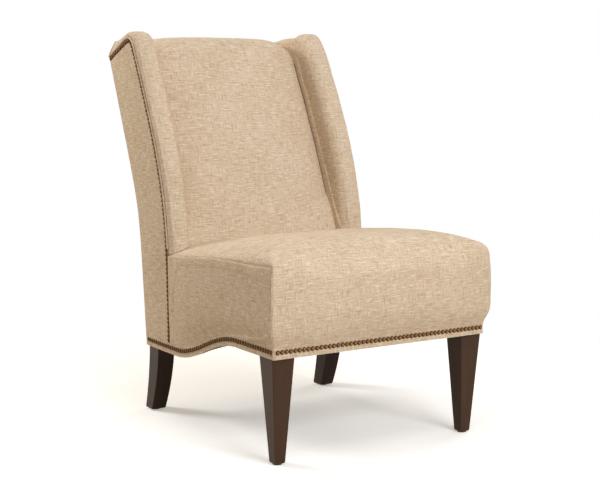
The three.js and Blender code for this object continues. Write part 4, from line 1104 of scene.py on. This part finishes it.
def make_wing_panel(side, name):
    front_end = WING_LINE[0] - PANEL_REACH
    path = wing_path(base_edge(front_end) + NAIL_BAND)
    front = path + corners_of(path) * PANEL_REACH
    heights = np.linspace(REAR_BASE, SHOULDER, 80)
    rear = np.stack([rear_face(heights) - CORNER_RADIUS - 2 * GAP, heights], axis=1)
    front = front[front[:, 0] < rear[-1, 0]]
    front = np.concatenate([[[front_end, REAR_BASE]], front])
    front, rear = along_path(front, 170), along_path(rear, 170)
    across = np.linspace(0, 1, 26)[None, :, None]
    flat = mix(front[:, None], rear[:, None], across)
    grid = np.concatenate([np.full(flat.shape[:2] + (1,), side * HALF_WIDTH), flat], axis=2)
    inwards = to_border(grid)
    grid[..., 0] += side * PANEL_SWELL * smooth(inwards / 60)
    normal = np.zeros_like(grid)
    normal[..., 0] = side
    grid = ripples(grid, normal, smooth(inwards / 40), size=150, height=0.5, seed=41)
    grid = groove(grid, edge_distance(grid, "left") - PANEL_REACH, 0.5, NAIL_DIP, normal)
    grid = base_dip(grid, 0.5, normal)
    inner, rests_on = grid - normal * COVER, ["side_frame_" + name]
    cloth_panel("wing_panel_" + name, grid, inner, "outside_wing_cover_" + name, rests_on, 0.3)


def make_outside_back():
    path = wing_path(WING_START)
    outward = corners_of(path)
    shoulder = []
    for k in (0, 1, 2, 4, 6, 8):
        across, out = ROLL[k]
        place = roll_place(path[-1], outward[-1], across, out, 1)
        shoulder.append([WING_MIDDLE + WING_THICKNESS / 2 * across, place[1]])
    shoulder[0][1] = SHOULDER
    shoulder[-1][1] = BACK_REAR
    middle = [[mix(WING_INNER, -WING_INNER, s), BACK_REAR] for s in (1 / 3, 2 / 3)]
    tops = np.array(shoulder + middle + [[-x, z] for x, z in shoulder[::-1]])
    walked = walked_along(tops)
    beside = [walked[1:4] - 1, walked[-4:-1] + 1]
    at = np.sort(np.concatenate([np.linspace(0, walked[-1], 90), *beside]))
    x, top = (np.interp(at, walked, tops[:, k])[None, :] for k in (0, 1))
    z = mix(REAR_BASE, top, np.linspace(0, 1, 110)[:, None])
    x = np.broadcast_to(x, z.shape)
    grid = np.stack([x, rear_face(z) - corner_inset(x), z], axis=2)
    normal = outwards(grid, (0, 400, 600))
    grid = ripples(grid, normal, smooth(to_border(grid) / 60), size=170, height=0.7, seed=51)
    inner = grid.copy()
    inner[..., 0] = np.clip(grid[..., 0], COVER - HALF_WIDTH, HALF_WIDTH - COVER)
    inner[..., 1] -= COVER
    size = (2 * (HALF_WIDTH - DRAW_IN * rear_face(REAR_BASE)) / 1000, OUTSIDE_BACK_LENGTH)
    rests_on = ["top_back_rail", "bottom_back_rail"]
    cloth_panel("outside_back_panel", grid, inner, "outside_back_cover", rests_on, 0.3, size)


# Nails: one dome after another, touching, each set a little differently

def make_nails(name, node, points, place):
    count = round(float(walked_along(points)[-1]) / NAIL_PITCH)
    centres = along_path(points, 2 * count + 1)[1::2]
    source = np.random.default_rng(len(points))
    turns = [2 * math.pi * s / NAIL_SIDES for s in range(NAIL_SIDES)]
    placed, faces = [], []
    for centre in centres:
        rings, between = stacked_rings(len(placed), len(NAIL_PROFILE), NAIL_SIDES)
        lean = source.normal(0, 0.05, 2)
        shift = source.normal(0, 0.12, 2)
        size = NAIL_DIAMETER * source.uniform(0.985, 1.015)
        for share, rise in NAIL_PROFILE:
            for angle in turns:
                u, v = size * share * math.cos(angle), size * share * math.sin(angle)
                out = NAIL_HEIGHT * rise + (lean[0] * u + lean[1] * v) * bool(rise)
                placed.append(place(centre + shift + np.array([u, v]), out))
        tip = len(placed)
        placed.append(place(centre + shift, NAIL_HEIGHT))
        cap = [(a, b, tip) for a, b, _, _ in band_faces(rings[-1], rings[-1])]
        faces += between + cap + [rings[0][::-1]]
    nails = mesh_object(name, np.array(placed), faces)
    finish_piece(nails, bronze, [node])


def make_all_nails():
    end = HALF_WIDTH - NAIL_DIAMETER / 2
    height = FRONT_BASE + NAIL_RISE
    front = np.array([[-end, height], [end, height]])
    make_nails("front_nails", "nail_trim_front", front, lambda p, out: (p[0], -out, p[1]))
    rear_end = rear_face(REAR_BASE) - CORNER_RADIUS - NAIL_DIAMETER / 2
    depths = np.linspace(NAIL_DIAMETER / 2, rear_end, 80)
    base = np.stack([depths, base_edge(depths) + NAIL_RISE], axis=1)
    wing = wing_path(base_edge(WING_LINE[0]) + NAIL_RISE + NAIL_DIAMETER)
    for side, name in SIDES:
        def on_side(p, out):
            return (side * (HALF_WIDTH + out), p[0], p[1])

        make_nails("base_nails_" + name, "nail_trim_base_" + name, base, on_side)
        make_nails("wing_nails_" + name, "nail_trim_wing_" + name, wing, on_side)


# Hidden cloth: finer copies of the plain solids under the seat and in the back

def soft_copy(name, node, material, cuts, sag=0.0):
    piece = add_object(name, frame["nodes"][node].data.copy())
    mesh = piece.data
    mesh.materials.clear()
    work = bmesh.new()
    work.from_mesh(mesh)
    bmesh.ops.remove_doubles(work, verts=work.verts, dist=0.00001)
    bmesh.ops.subdivide_edges(work, edges=work.edges, cuts=cuts, use_grid_fill=True)
    for vert in work.verts:
        x, y, _ = vert.co
        vert.co.z -= sag * abs(math.sin(x * 23) * math.sin(y * 19))
    written_back(work, mesh, 40)
    return finish_piece(piece, material, [node])


def draw_tight(obj):
    """Lifts the dust sheet's middle where it is drawn across the dip of the sides."""
    start, end = DUST_DIP
    inner = PLY_INNER / 1000 - 0.003
    for vert in obj.data.vertices:
        depth = vert.co.y * 1000 - FRONT_LINE
        along = math.sin(math.pi * min(max((depth - start) / (end - start), 0), 1)) ** 2
        vert.co.z += DUST_LIFT * along * float(smooth((inner - abs(vert.co.x)) / 0.02))


def make_hidden_cloth():
    dust = soft_copy("dust_sheet", "dust_cover", dust_cloth, 3, 0.0006)
    draw_tight(dust)
    pad = soft_copy("spring_pad", "spring_insulator", needled, 2)
    for name, node, count in (("upright", "back_strap", 3), ("cross", "back_cross_strap", 2)):
        for k in range(1, count + 1):
            soft_copy("%s_strap_%d" % (name, k), "%s_%d" % (node, k), strapping, 1)


make_seat()
make_back()
make_outside_back()
for side, name in SIDES:
    make_seat_panel(side, name)
    make_wing(side, name)
    make_welt(side, name)
    make_wing_panel(side, name)
make_all_nails()
make_hidden_cloth()


# Stage: a pale floor, soft lights and the photograph's camera

def make_floor():
    r = FLOOR_REACH
    corners = [(-r, -r, 0), (r, -r, 0), (r, r, 0), (-r, r, 0)]
    floor = add_mesh("floor", corners, [(0, 1, 2, 3)])
    n = Nodes("floor_paper")
    grain = n.noise(n.place(), 30, 2)
    seen = n.seen()
    colour = n.blend(seen, FLOOR_LIT, FLOOR_SEEN)
    colour = n.blend(n.times(grain, 0.04), colour, FLOOR_FLECK)
    diffuse = n.add("ShaderNodeBsdfDiffuse", {"Color": colour}).outputs[0]
    glow = n.add("ShaderNodeEmission", {"Color": FLOOR_GLOW, "Strength": seen}).outputs[0]
    near = n.add("ShaderNodeAddShader", {0: diffuse, 1: glow}).outputs[0]
    away = n.add("ShaderNodeVectorMath", {0: n.place()}, operation="LENGTH").outputs["Value"]
    white = n.add("ShaderNodeEmission", {"Color": WHITE, "Strength": 1.0}).outputs[0]
    far = n.times(n.step(away, 0.75, 1.5), seen)
    whole = n.add("ShaderNodeMixShader", {0: far, 1: near, 2: white})
    floor.data.materials.append(n.finish(whole))


def aim(obj, place, target):
    obj.location = place
    obj.rotation_euler = (Vector(target) - Vector(place)).to_track_quat("-Z", "Y").to_euler()


def make_light(name, place, target, width, power, colour):
    lamp = bpy.data.lights.new(name, "AREA")
    lamp.shape = "RECTANGLE"
    lamp.size = lamp.size_y = width
    lamp.energy = power
    lamp.color = colour
    aim(add_object(name, lamp), place, target)


def make_world():
    n = Nodes("studio", world=True)
    soft = n.add("ShaderNodeBackground", {"Color": SKY, "Strength": SKY_STRENGTH}).outputs[0]
    white = n.add("ShaderNodeBackground", {"Color": WHITE, "Strength": 1.0}).outputs[0]
    both = n.add("ShaderNodeMixShader", {0: n.seen(), 1: soft, 2: white})
    bpy.context.scene.world = n.finish(both)


def make_camera():
    lens = bpy.data.cameras.new("camera")
    lens.sensor_width = 36
    lens.lens = CAMERA_LENS
    camera = add_object("camera", lens)
    aim(camera, CAMERA_PLACE, CAMERA_TARGET)
    bpy.context.scene.camera = camera


make_floor()
make_world()
make_camera()
for name, setting in LIGHTS.items():
    make_light(name, *setting)
bpy.context.scene.view_settings.view_transform = "Standard"
